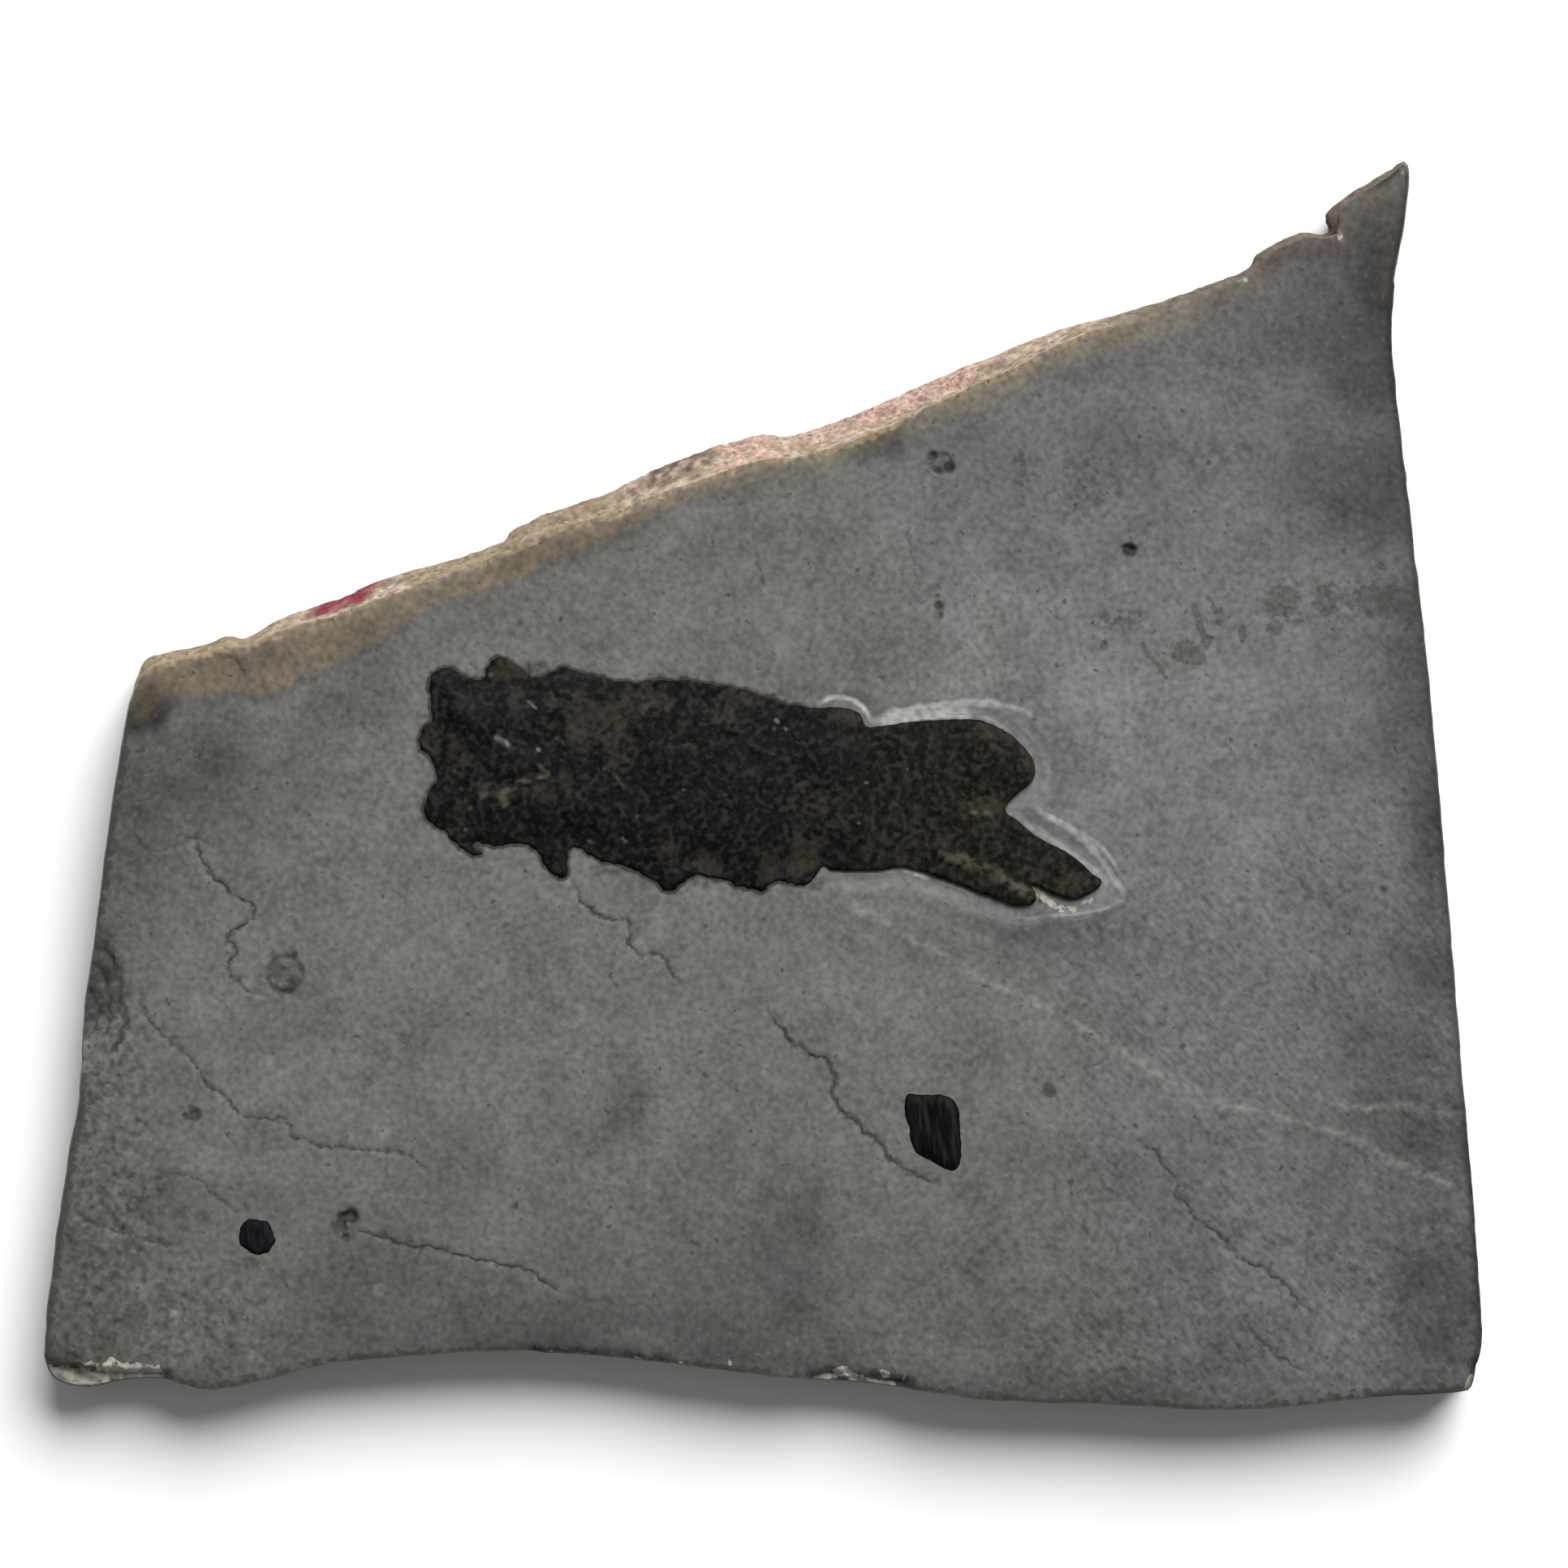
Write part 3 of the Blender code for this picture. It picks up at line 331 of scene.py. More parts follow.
# Darker places: painted shade towards the edges and corners, and the rock's uneven tone. Centre, half
# width, half height and strength, below 0 where lighter.
SHADE_OVALS = (
    ((-10.0, -100.0), 110.0, 40.0, 0.27), ((0.0, -50.0), 110.0, 44.0, 0.03),
    ((96.0, 66.0), 22.0, 38.0, 0.26), ((112.0, -20.0), 22.0, 70.0, 0.26), ((-98.0, 2.0), 24.0, 24.0, 0.22),
    ((-28.0, -82.0), 44.0, 6.0, 0.12), ((66.0, 2.0), 26.0, 18.0, -0.08),
    ((25.0, -8.0), 40.0, 32.0, -0.04), ((40.0, -90.0), 22.0, 4.5, 0.12), ((84.0, 0.0), 8.0, 50.0, 0.05),
    ((-99.4, -29.5), 4.2, 7.5, 0.44), ((-93.0, -25.0), 5.0, 8.0, 0.14),
    ((-95.0, -58.0), 11.0, 16.0, 0.18), ((-100.0, -82.0), 9.0, 12.0, 0.12),
    ((-92.0, -5.0), 5.0, 12.0, 0.14), ((-76.0, 1.6), 12.0, 9.0, 0.16), ((-80.0, 3.8), 4.5, 2.8, 0.14),
    ((-86.0, -0.8), 4.5, 2.6, 0.13), ((-91.0, -4.5), 3.5, 2.5, 0.10), ((-64.0, 11.0), 3.4, 3.0, 0.13),
    ((-91.5, 11.8), 4.2, 5.0, 0.44), ((-57.5, 19.6), 6.0, 3.4, 0.18), ((-60.0, 13.0), 7.5, 5.0, 0.22),
    ((-76.0, 20.0), 7.5, 4.0, 0.32), ((-72.0, -27.0), 16.0, 12.0, 0.07), ((-72.0, -36.5), 8.0, 3.6, 0.13),
    ((-47.5, -55.5), 9.5, 6.0, 0.18), ((-48.0, -36.0), 7.0, 5.0, 0.12), ((-75.0, -61.0), 15.0, 4.5, 0.12),
    ((-60.0, -71.0), 10.0, 9.0, 0.17), ((-20.3, -47.0), 3.7, 7.0, 0.27), ((-12.0, -38.0), 5.0, 6.0, -0.07),
    ((-20.0, -24.0), 5.5, 6.5, -0.11), ((-20.0, -68.0), 5.0, 4.0, -0.07),
    ((-30.0, -84.0), 10.0, 3.0, 0.10), ((-19.0, -83.6), 7.0, 3.4, -0.12), ((4.5, -67.5), 6.0, 11.0, 0.21),
    ((36.5, -52.5), 4.0, 4.5, 0.16), ((36.0, -68.0), 6.0, 5.5, -0.13),
    ((57.0, -56.0), 11.0, 8.0, 0.19), ((61.0, -68.0), 7.0, 6.0, 0.13), ((51.0, -85.0), 8.0, 3.0, -0.15),
    ((32.0, -85.0), 13.0, 4.0, -0.06), ((100.0, -76.0), 8.5, 12.5, 0.40),
    ((88.0, -66.0), 13.0, 10.0, 0.14), ((90.5, -50.5), 9.5, 5.5, 0.24), ((101.0, -53.0), 6.0, 7.0, 0.12),
    ((79.0, -55.0), 10.0, 9.0, 0.15), ((90.0, -41.0), 9.5, 7.5, 0.19), ((101.0, -40.0), 4.0, 7.0, -0.06),
    ((97.0, -27.0), 7.0, 5.0, 0.17), ((76.0, -10.0), 9.0, 13.0, -0.08), ((66.5, -19.0), 8.0, 4.5, -0.14),
    ((68.0, -5.0), 5.0, 5.0, -0.10), ((92.0, -15.0), 5.0, 7.0, -0.06), ((100.0, -8.0), 4.6, 7.6, 0.21),
    ((87.5, 4.0), 7.0, 5.0, 0.16), ((97.0, 10.0), 7.0, 18.0, 0.12), ((93.0, 23.0), 6.0, 7.0, 0.09),
    ((44.0, 14.0), 26.0, 9.0, -0.11), ((44.5, 4.0), 3.5, 6.0, 0.12), ((66.0, 11.0), 5.0, 3.6, 0.08),
    ((63.0, 16.0), 9.0, 7.0, -0.10), ((35.0, 26.0), 8.0, 6.0, -0.27), ((31.0, 16.5), 6.0, 4.0, -0.20),
    ((20.0, 18.5), 9.0, 3.0, 0.10), ((31.0, -23.0), 13.0, 4.8, 0.16), ((43.0, -21.5), 11.0, 5.0, 0.17),
    ((52.0, -20.5), 5.0, 4.0, 0.13), ((40.0, 48.0), 27.0, 8.0, 0.10), ((55.0, 51.5), 8.0, 4.0, 0.16),
    ((15.0, 51.2), 8.0, 3.2, 0.44), ((0.5, 36.5), 11.0, 4.0, 0.13), ((84.5, 73.5), 7.5, 7.0, 0.24),
    ((93.0, 76.0), 6.5, 10.0, 0.30), ((89.0, 61.0), 10.0, 7.0, 0.20), ((70.0, 65.0), 15.0, 6.0, 0.08),
    ((76.5, 79.0), 8.0, 3.0, 0.14), ((60.8, 67.2), 6.5, 3.4, -0.12), ((49.0, 60.5), 8.0, 3.4, 0.13),
    ((76.0, 29.0), 20.0, 6.0, -0.11), ((48.0, 29.0), 8.0, 5.0, -0.12), ((16.0, 31.0), 6.0, 7.0, -0.12),
    ((-73.0, -52.0), 14.0, 5.0, 0.10), ((101.5, -84.0), 5.0, 5.0, 0.13), ((64.0, 3.0), 7.0, 5.0, -0.08),
    ((-87.0, -9.0), 8.0, 6.0, -0.10), ((-53.5, 1.0), 4.0, 6.5, -0.10), ((-21.0, -58.0), 11.0, 6.0, -0.08),
    ((76.0, 43.0), 5.0, 5.0, 0.12), ((86.0, 44.0), 10.0, 7.0, 0.19),
    ((76.0, 35.0), 5.0, 4.0, 0.10), ((-31.0, 35.0), 10.0, 3.0, 0.20), ((-20.5, 38.0), 4.5, 3.2, 0.22),
    ((-5.0, 43.5), 9.0, 2.0, 0.10), ((-47.0, 22.5), 14.0, 2.2, 0.07),
)

# Weathered band inside the joint edge: its reach in from the edge, by x.
BAND_REACH = (
    (-96.0, 3.4), (-90.0, 4.2), (-84.0, 5.4), (-72.0, 7.6), (-62.0, 6.6), (-50.0, 3.9),
    (-38.0, 4.2), (-28.0, 4.4), (-21.0, 2.9), (-13.0, 2.4), (-5.0, 2.4), (5.0, 2.7),
    (18.0, 2.4), (26.0, 2.8), (34.0, 3.7), (42.0, 3.1), (50.0, 3.8), (58.0, 4.0), (66.0, 4.0),
    (71.0, 3.0), (80.0, 2.6), (88.0, 3.4), (95.0, 2.8),
)
# Colours of the joint face by stretch of x and share of its height, with how strong each is.
JOINT_PINK = (
    (-31.0, -17.0, 0.0, 0.66, 0.7), (-9.0, 4.0, 0.0, 1.3, 0.95), (3.0, 13.0, 0.0, 0.9, 0.7),
    (12.0, 32.0, 0.0, 0.82, 1.0), (31.0, 52.0, 0.0, 0.66, 0.6),
)
JOINT_CRIMSON = ((-68.0, -57.0, 0.0, 0.82, 1.0), (-30.0, -24.5, 0.0, 0.6, 0.9))
JOINT_DARK = (
    (-19.0, -8.0, 0.0, 0.80, 0.95), (-24.5, -18.0, 0.0, 0.52, 0.8), (-29.0, -27.0, 0.6, 1.2, 0.4),
)
JOINT_TAN = ((-97.0, -73.0, 0.0, 1.5, 0.9), (-54.0, -20.0, 0.0, 1.5, 0.8), (50.0, 97.0, 0.0, 1.5, 0.8))

# ---------------------------------------------------------------- plans and distances


def swell(places, size, layer, stretch=(1.0, 1.0)):
    """Smooth unevenness between about -1 and 1 at each place. The layer picks the pattern."""
    scaled = places[:, :2] * stretch / size
    return np.array([noise.noise((x, y, layer)) for x, y in scaled.tolist()])


def rough(places, size, layer, octaves=4, stretch=(1.0, 1.0)):
    """Unevenness that repeats itself at ever smaller sizes."""
    scaled = places[:, :2] * stretch / size
    return np.array([noise.fractal((x, y, layer), 0.9, 2.0, octaves) for x, y in scaled.tolist()])


def ease(share):
    """0 below 0, 1 above 1, and a smooth step between."""
    share = np.clip(share, 0.0, 1.0)
    return share * share * (3.0 - 2.0 * share)


def ramp(values, start, end):
    """0 before the start, 1 past the end and a smooth step between. The end may be the lower."""
    return ease((values - start) / (end - start))


def distance(places, centre):
    return np.linalg.norm(places[:, :2] - centre, axis=1)


def dome(places, centre, reach):
    """1 at the centre and 0 from the reach outwards."""
    return ease(1.0 - distance(places, centre) / reach)


def circle(places, centre, radius, width):
    """1 on a circle and 0 from a width to either side of it."""
    return ease(1.0 - np.abs(distance(places, centre) - radius) / width)


def oval(places, centre, half_width, half_height):
    """Distance from an oval's centre as a share of its size: 1 on the oval."""
    x, y = centre
    return np.hypot((places[:, 0] - x) / half_width, (places[:, 1] - y) / half_height)


def smooth_line(corners, step, closed=True):
    """Points about one step apart on a smooth curve through the corners."""
    corners = [Vector(corner) for corner in corners]
    count = len(corners)

    def corner(i):
        return corners[i % count] if closed else corners[min(max(i, 0), count - 1)]

    points = []
    for i in range(count if closed else count - 1):
        before, start, end, after = (corner(i + k) for k in (-1, 0, 1, 2))
        length = (end - start).length
        leave = start + (end - before).normalized() * length / 3.0
        arrive = end - (after - start).normalized() * length / 3.0
        pieces = max(1, round(length / step))
        points += interpolate_bezier(start, leave, arrive, end, pieces + 1)[:-1]
    return np.array([tuple(point) for point in points + ([] if closed else corners[-1:])])


def outward_of(plan):
    """Unit directions out of a closed clockwise outline, and the mitre that keeps its sides parallel."""
    along = np.roll(plan, -1, axis=0) - plan
    along /= np.linalg.norm(along, axis=1)[:, None]
    left = np.stack([-along[:, 1], along[:, 0]], axis=1)
    outward = left + np.roll(left, 1, axis=0)
    outward /= np.linalg.norm(outward, axis=1)[:, None]
    return outward, 1.0 / np.maximum((outward * left).sum(axis=1), MITRE_LIMIT)


def grown(plan, reach):
    """A clockwise outline moved outwards by a distance, which may differ from point to point."""
    outward, mitre = outward_of(plan)
    return plan + outward * (mitre * reach)[:, None]


def inward_paths(plan, reach, passes=14):
    """The outline and its copies moved inwards pass by pass, eased where their points crowd."""
    spacing = np.linalg.norm(np.roll(plan, -1, axis=0) - np.roll(plan, 1, axis=0), axis=1)
    paths = [plan]
    for _ in range(passes):
        ring = grown(paths[-1], -reach / passes)
        for _ in range(3):
            before, after = np.roll(ring, 1, axis=0), np.roll(ring, -1, axis=0)
            gap = np.linalg.norm(after - before, axis=1)
            crowding = np.clip(1.15 - gap / spacing, 0.0, 0.9)
            ring = ring + crowding[:, None] * (0.5 * (before + after) - ring)
        paths.append(ring)
    return np.array(paths)


def set_back(paths, reach, back):
    """The ring that stands back from the outline by a distance given at each point."""
    passes = len(paths) - 1
    share = np.clip(back / reach, -0.3, 1.0) * passes
    lower = np.clip(np.floor(share).astype(int), 0, passes - 1)
    index = np.arange(paths.shape[1])
    start, end = paths[lower, index], paths[lower + 1, index]
    return start + (share - lower)[:, None] * (end - start)


def nearest(places, line, reach, closed=False):
    """Distance from each place to a chain of points, no further than a reach, and how far along."""
    chain = np.vstack([line, line[:1]]) if closed else np.asarray(line, float)
    found, along_line = np.full(len(places), float(reach)), np.zeros(len(places))
    low, high = chain.min(axis=0) - reach, chain.max(axis=0) + reach
    close = np.flatnonzero(((places[:, :2] > low) & (places[:, :2] < high)).all(axis=1))
    close = close[np.argsort(places[close, 0])]
    spots = places[close, :2]
    travelled = 0.0
    for start, end in zip(chain[:-1], chain[1:]):
        low, high = np.minimum(start, end) - reach, np.maximum(start, end) + reach
        first, last = np.searchsorted(spots[:, 0], (low[0], high[0]))
        y = spots[first:last, 1]
        near = first + np.flatnonzero((y > low[1]) & (y < high[1]))
        along, length = end - start, math.dist(end, start)
        offset = spots[near] - start
        share = np.clip(offset @ along / length**2, 0.0, 1.0)
        away = np.hypot(*(offset - share[:, None] * along).T)
        better = away < found[close[near]]
        found[close[near[better]]] = away[better]
        along_line[close[near[better]]] = travelled + share[better] * length
        travelled += length
    return found, along_line


def inside(places, plan):
    """Whether each place lies inside a closed outline."""
    low, high = plan.min(axis=0), plan.max(axis=0)
    boxed = np.flatnonzero(((places > low) & (places < high)).all(axis=1))
    boxed = boxed[np.argsort(places[boxed, 1])]
    x, y = places[boxed].T
    crossings = np.zeros(len(boxed), int)
    for (x0, y0), (x1, y1) in zip(plan, np.roll(plan, -1, axis=0)):
        first, last = np.searchsorted(y, (min(y0, y1), max(y0, y1)))
        if first < last:
            rise = (y[first:last] - y0) / (y1 - y0)
            crossings[first:last] += x[first:last] < x0 + rise * (x1 - x0)
    within = np.zeros(len(places), bool)
    within[boxed] = crossings % 2 == 1
    return within


def grid_over(plan, step, wanted=None):
    """Points of an uneven triangular grid inside an outline, where they are wanted."""
    low, high = plan.min(axis=0), plan.max(axis=0)
    rows = math.ceil((high[1] - low[1]) / (step * math.sqrt(0.75)))
    columns = math.ceil((high[0] - low[0]) / step) + 1
    row, column = np.divmod(np.arange(rows * columns), columns)
    grid = low + np.stack([(column + 0.5 * (row % 2)), row * math.sqrt(0.75)], axis=1) * step
    if wanted is not None:
        grid = grid[wanted(grid)]
    drift = [swell(grid, 0.37 * step, layer) for layer in (5.0, 6.0)]
    grid = grid + GRID_DRIFT * step * np.stack(drift, axis=1)
    return grid[inside(grid, plan)]


def triangles_over(outlines, points):
    """Triangles over the first outline that keep every outline's edges, as places and faces."""
    places = np.vstack([*outlines, points]) if len(points) else np.vstack(outlines)
    edges, first = [], 0
    for outline in outlines:
        count = len(outline)
        edges += [(first + i, first + (i + 1) % count) for i in range(count)]
        first += count
    vectors = [Vector(place) for place in places.tolist()]
    made, _, faces, *_ = delaunay_2d_cdt(vectors, edges, [], 1, 1e-6)
    if len(made) != len(places):
        raise ValueError("two outlines cross, or two points coincide")
    return places, np.array([tuple(face) for face in faces])


def apart(points, others, gap):
    """The points that keep a gap from the others."""
    tree = KDTree(len(others))
    for i, (x, y) in enumerate(others.tolist()):
        tree.insert((x, y, 0.0), i)
    tree.balance()
    clear = [tree.find((x, y, 0.0))[2] > gap for x, y in points.tolist()]
    return points[np.array(clear)]


def thinned(points, gap):
    """The points with those left out that lie within a gap of an earlier one."""
    tree = KDTree(len(points))
    for i, (x, y) in enumerate(points.tolist()):
        tree.insert((x, y, 0.0), i)
    tree.balance()
    kept = np.ones(len(points), bool)
    for i, (x, y) in enumerate(points.tolist()):
        if kept[i]:
            for _, j, _ in tree.find_range((x, y, 0.0), gap):
                if j > i:
                    kept[j] = False
    return points[kept]


# ---------------------------------------------------------------- outlines

SOLID_STEP = 4.2  # spacing of the solids' own slab outline, whose middle is the frame's origin
SOLID_OUTLINE = smooth_line(SLAB_PLAN, SOLID_STEP)
CENTRE = 0.5 * (SOLID_OUTLINE.min(axis=0) + SOLID_OUTLINE.max(axis=0))

BROKEN_EDGE = (5.0, 0.16)  # size and depth of the unevenness of the slab's outline
BODY_EDGE = (1.5, 0.38)  # the same of the fish's body, its tail and the fragments
TAIL_EDGE = (1.3, 0.12)
CHIP_EDGE = (1.2, 0.12)
SMALL_CHIP_EDGE = (1.1, 0.26)
TAIL_SMOOTH = (4.0, 12.0)  # x between which the fish's edge turns from ragged to smooth


def ragged(plan, size, depth):
    """A closed outline with small unevenness across it."""
    return grown(plan, depth * rough(plan, size, 9.0, 3))


def ragged_fish():
    """The fish's outline, torn round the body and smoother round the tail."""
    plan = smooth_line(FISH_PLAN, FINE_STEP)
    body = 1.0 - ramp(plan[:, 0], *TAIL_SMOOTH)
    torn = body * BODY_EDGE[1] * rough(plan, BODY_EDGE[0], 9.0, 3)
    return grown(plan, torn + (1.0 - body) * TAIL_EDGE[1] * rough(plan, TAIL_EDGE[0], 9.0, 2))


SLAB_OUTLINE = ragged(smooth_line(SLAB_PLAN, SIDE_STEP), *BROKEN_EDGE)
FISH_OUTLINE = ragged_fish()
CHIP_OUTLINE = ragged(smooth_line(CHIP_PLAN, CHIP_STEP), *CHIP_EDGE)
SMALL_CHIP_OUTLINE = ragged(smooth_line(SMALL_CHIP_PLAN, CHIP_STEP), *SMALL_CHIP_EDGE)
FOSSIL_OUTLINES = (FISH_OUTLINE, CHIP_OUTLINE, SMALL_CHIP_OUTLINE)


def jagged(points, swing, size=1.5, step=0.36):
    """A line's course over the face: a smooth curve with small kinks, and none at its ends."""
    line = smooth_line(points, step, closed=False)
    along = np.gradient(line, axis=0)
    along /= np.linalg.norm(along, axis=1)[:, None]
    across = np.stack([-along[:, 1], along[:, 0]], axis=1)
    held = np.minimum(np.arange(len(line)), np.arange(len(line))[::-1])
    kinks = swing * ease(held / 3.0) * rough(line, size, 10.0, 3)
    return line + across * kinks[:, None], across


CRACK_SWING, PALE_SWING = 0.62, 0.45
CRACK_LINES = [(width, depth, *jagged(points, CRACK_SWING)) for width, depth, points in CRACKS]
VEIN_LINES = [(width, share, *jagged(points, PALE_SWING)) for width, share, points in PALE_LINES]


def line_rows():
    """Points along every crack and vein and at both its sides, so that the mesh can follow it."""
    rows = []
    for width, _, line, across in CRACK_LINES + VEIN_LINES:
        rows += [line, line + width * across, line - width * across]
    return thinned(np.vstack(rows), ROW_SPACING)


# ---------------------------------------------------------------- the slab's face

FACE_GRAIN = ((6.5, 0.07), (2.3, 0.05))  # size and height of the face's finer unevenness
GROOVE_LIP = 0.03  # how far the rock beside a crack stands up
GROOVE_LIP_REACH = 1.6
TERRACE = (5.6, 6.6, 0.10)  # faint step outside the trough: where it starts and ends, and its height
CHIP_WANDER = 0.9  # unevenness of the outline of a broken edge
RAGGED_FLOOR = 0.35  # unevenness of its floor
BAND_WANDER = 0.9
BAND_FRINGE = (0.6, 1.1, 0.16)  # darker line inside the weathered band: place, half width, strength
EDGE_GLOOM = (0.16, 5.0)  # darkening beside the broken edges, and how far in it reaches
LIP_REACH = 2.0  # how far in from the joint face's upper edge its crust can spill
SOOT_AND_SHADOW_REACH = 1.2  # how far the painted shadow at the fish's body spreads over the rock
CRACK_CORE = 0.6  # darkness of a crack's middle line
RIM_REACH = 1.7  # width of the darker rim along the left and lower edges
TROUGH_ARC = (4.3, 0.9, 0.08)  # darker line outside the trough: place, half width, strength
TANNED = (-22.0, 2.0)  # x between which the weathered band turns from tan to olive
RING_DEPTH = 0.2  # of the groove of a round mark
TIP = (50.0, 72.0)  # x between which the weathered band dulls towards the point
SIDE_TIP = (46.0, 62.0)  # the same of the joint face
COOL = (12.0, 50.0)  # x between which the grey turns from warm to cool, at y = 0
COOL_TILT = 0.35  # how much earlier in x the turn comes for each millimetre of y
STRIAE_X = (24.0, 54.0)  # x between which the slanting streaks of the lower right start
STRIAE_Y = (-2.0, 18.0)  # y below which they start, and over what height
STRIAE_RISE = (70.0, 110.0, 26.0)  # x between which that line rises, and by how much
JOINT_START = (-92.6, 1.2)  # x where the joint face's colours start, and over what length
JOINT_FAR = 24.0  # distances from the joint face are measured no further than this
FRINGE_END = (-12.0, 18.0)  # x between which the darker line inside the band fades
SCRAPED = (4.4, 2.0)  # reach of the scraped rock round the tail, and over what distance it fades
SHADED_EDGE_RIGHT = (88.0, 92.0)  # x between which the painted shade line of the right edge starts
DARK_RIM_LEFT = (-84.0, -90.0, 11.0)  # x between which the left rim darkens, and up to which y
DARK_RIM_LOWER = (-77.0, -82.0, 0.75)  # y between which the lower rim darkens, and how much
DARK_RIM_FREE = 0.6  # depth of a chip at whose floor no darker rim is left
EDGE_LINE = 0.45  # width of the painted shade line along the right edge, on the face
# How dark that line is, by y.
EDGE_DARKNESS = (
    (-92.0, 0.5), (-86.0, 0.95), (-52.0, 0.9), (-44.0, 0.55), (20.0, 0.55), (70.0, 0.9), (90.0, 0.9),
)


def face_level(places):
    """Height of the slab's face before anything is broken or scraped from it."""
    roll = FACE_ROLL * swell(places, FACE_ROLL_SIZE, 1.0)
    return THICKNESS + roll + FACE_DIMPLE * swell(places, FACE_DIMPLE_SIZE, 2.0)


def in_tail_trough(x):
    """0 along the body, rising to 1 where the trough round the tail is full."""
    return ramp(x, TROUGH_START, TROUGH_FULL)


def broken_depth(places):
    """How deep the upper edge is broken away at each place."""
    depth_there = np.zeros(len(places))
    for start, end, reach, depth in EDGE_CHIPS:
        away, _ = nearest(places, np.array([start, end]), reach + 2.0 * CHIP_WANDER)
        away = away + CHIP_WANDER * rough(places, 3.0, 11.0)
        fall = ease(2.0 * (reach - away) / reach)
        depth_there += fall * (depth + RAGGED_FLOOR * depth * rough(places, 2.4, 12.0))
    return depth_there


def face_height(places):
    """Height of the slab's face with all its relief."""
    height = face_level(places)
    for size, grain in FACE_GRAIN:
        height += grain * rough(places, size, 13.0)
    away, _ = nearest(places, FISH_OUTLINE, TERRACE[1], closed=True)
    fall = ramp(away, TROUGH_REACH, TROUGH_FLOOR)
    step = ramp(away, TERRACE[1], TERRACE[0])
    height -= in_tail_trough(places[:, 0]) * (TROUGH_DEPTH * fall + TERRACE[2] * step)
    for centre, reach, depth, _ in PITS:
        height -= depth * dome(places, centre, reach) * (1.0 + 0.5 * swell(places, 0.8, 14.0))
    for centre, radius, width, _ in RINGS:
        height -= RING_DEPTH * circle(places, centre, radius, width)
    for width, depth, line, _ in CRACK_LINES:
        away, _ = nearest(places, line, GROOVE_LIP_REACH)
        height += GROOVE_LIP * ease(1.0 - away / GROOVE_LIP_REACH)
        height -= (0.6 * depth + GROOVE_LIP) * np.clip(1.0 - away / width, 0.0, 1.0)
    return height - broken_depth(places)


def ends_fade(line, length=3.0):
    """A function that fades a line out over a length at both its ends."""
    total = np.linalg.norm(np.diff(line, axis=0), axis=1).sum()
    return lambda along: ease((along + 0.8) / length) * ease((total + 0.8 - along) / length)


def edge_shade_line(places):
    """How dark the painted shade line along the slab's right edge is at each place."""
    return ramp(places[:, 0], *SHADED_EDGE_RIGHT) * np.interp(places[:, 1], *zip(*EDGE_DARKNESS))


def past_joint_start(x):
    """0 left of the joint face and 1 along it."""
    start, length = JOINT_START
    return ease((x - start) / length)


def oval_blots(places, rows):
    """The strongest of several oval marks at each place, crisp at their edges."""
    found = np.zeros(len(places))
    for centre, half_width, half_height, share in rows:
        away = oval(places, centre, half_width, half_height)
        found = np.maximum(found, share * np.clip(1.6 - away, 0.0, 1.0))
    return found


def line_blots(places, rows, reach):
    """The same of marks along lines, which reach out to a number of their half widths."""
    found = np.zeros(len(places))
    for half_width, share, points in rows:
        line = smooth_line(points, MARK_STEP, closed=False)
        away, _ = nearest(places, line, 2.0 * half_width)
        found = np.maximum(found, share * np.clip(reach - away / half_width, 0.0, 1.0))
    return found


def line_marks(places):
    """How strong the dark lines and pits, the pale lines and spots and the cracks' haze are."""
    dark, pale, crack = np.zeros(len(places)), np.zeros(len(places)), np.zeros(len(places))
    for width, depth, line, _ in CRACK_LINES:
        away, along = nearest(places, line, width)
        worn = np.clip(0.85 + 1.1 * rough(places, 2.2, 15.0, 3), 0.25, 1.2)  # comes and goes
        found = ends_fade(line)(along) * worn * (0.45 + 1.3 * depth)
        dark = np.maximum(dark, CRACK_CORE * found * (1.0 - away / width))
        reach = 2.0 * width + 0.5
        away, along = nearest(places, line, reach)
        crack = np.maximum(crack, (0.5 + 1.3 * depth) * ends_fade(line)(along) * (1.0 - away / reach))
    for centre, reach, _, darkness in PITS:
        away = distance(places, centre) + 0.3 * reach * swell(places, 0.7, 16.0)
        dark = np.maximum(dark, darkness * ease((1.1 * reach - away) / (0.5 * reach)))
    for centre, radius, width, darkness in RINGS:
        patchy = np.clip(0.7 + 0.9 * swell(places, 1.6, 17.0), 0.0, 1.0)
        dark = np.maximum(dark, darkness * circle(places, centre, radius, width) * patchy)
    for width, share, line, _ in VEIN_LINES:
        away, along = nearest(places, line, 2.2 * width)
        worn = np.clip(0.65 + 0.9 * swell(places, 4.0, 18.0), 0.0, 1.2)
        found = share * worn * ends_fade(line, 6.0)(along)
        pale = np.maximum(pale, found * (1.0 - away / (2.2 * width)))
    for centre, reach, share in PALE_SPOTS:
        pale = np.maximum(pale, share * dome(places, centre, 1.4 * reach))
    return dark, pale, crack


def scraped_strands(places):
    """How bright the scraped strands round the tail are."""
    halo = np.zeros(len(places))
    for half_width, share, points in HALO_STRANDS:
        line = smooth_line(points, MARK_STEP, closed=False)
        away, along = nearest(places, line, 2.0 * half_width)
        away = away + 0.45 * half_width * rough(places, 1.3, 27.0, 2)
        halo = np.maximum(halo, share * ends_fade(line)(along) * ease(1.35 - away / half_width))
    return halo


def striae_weight(places):
    """How strong the slanting streaks of the lower right are, below a line that rises with x."""
    x, y = places[:, 0], places[:, 1]
    start, end, rise = STRIAE_RISE
    below, height = STRIAE_Y
    return ramp(x, *STRIAE_X) * ease((ramp(x, start, end) * rise + below - y) / height)


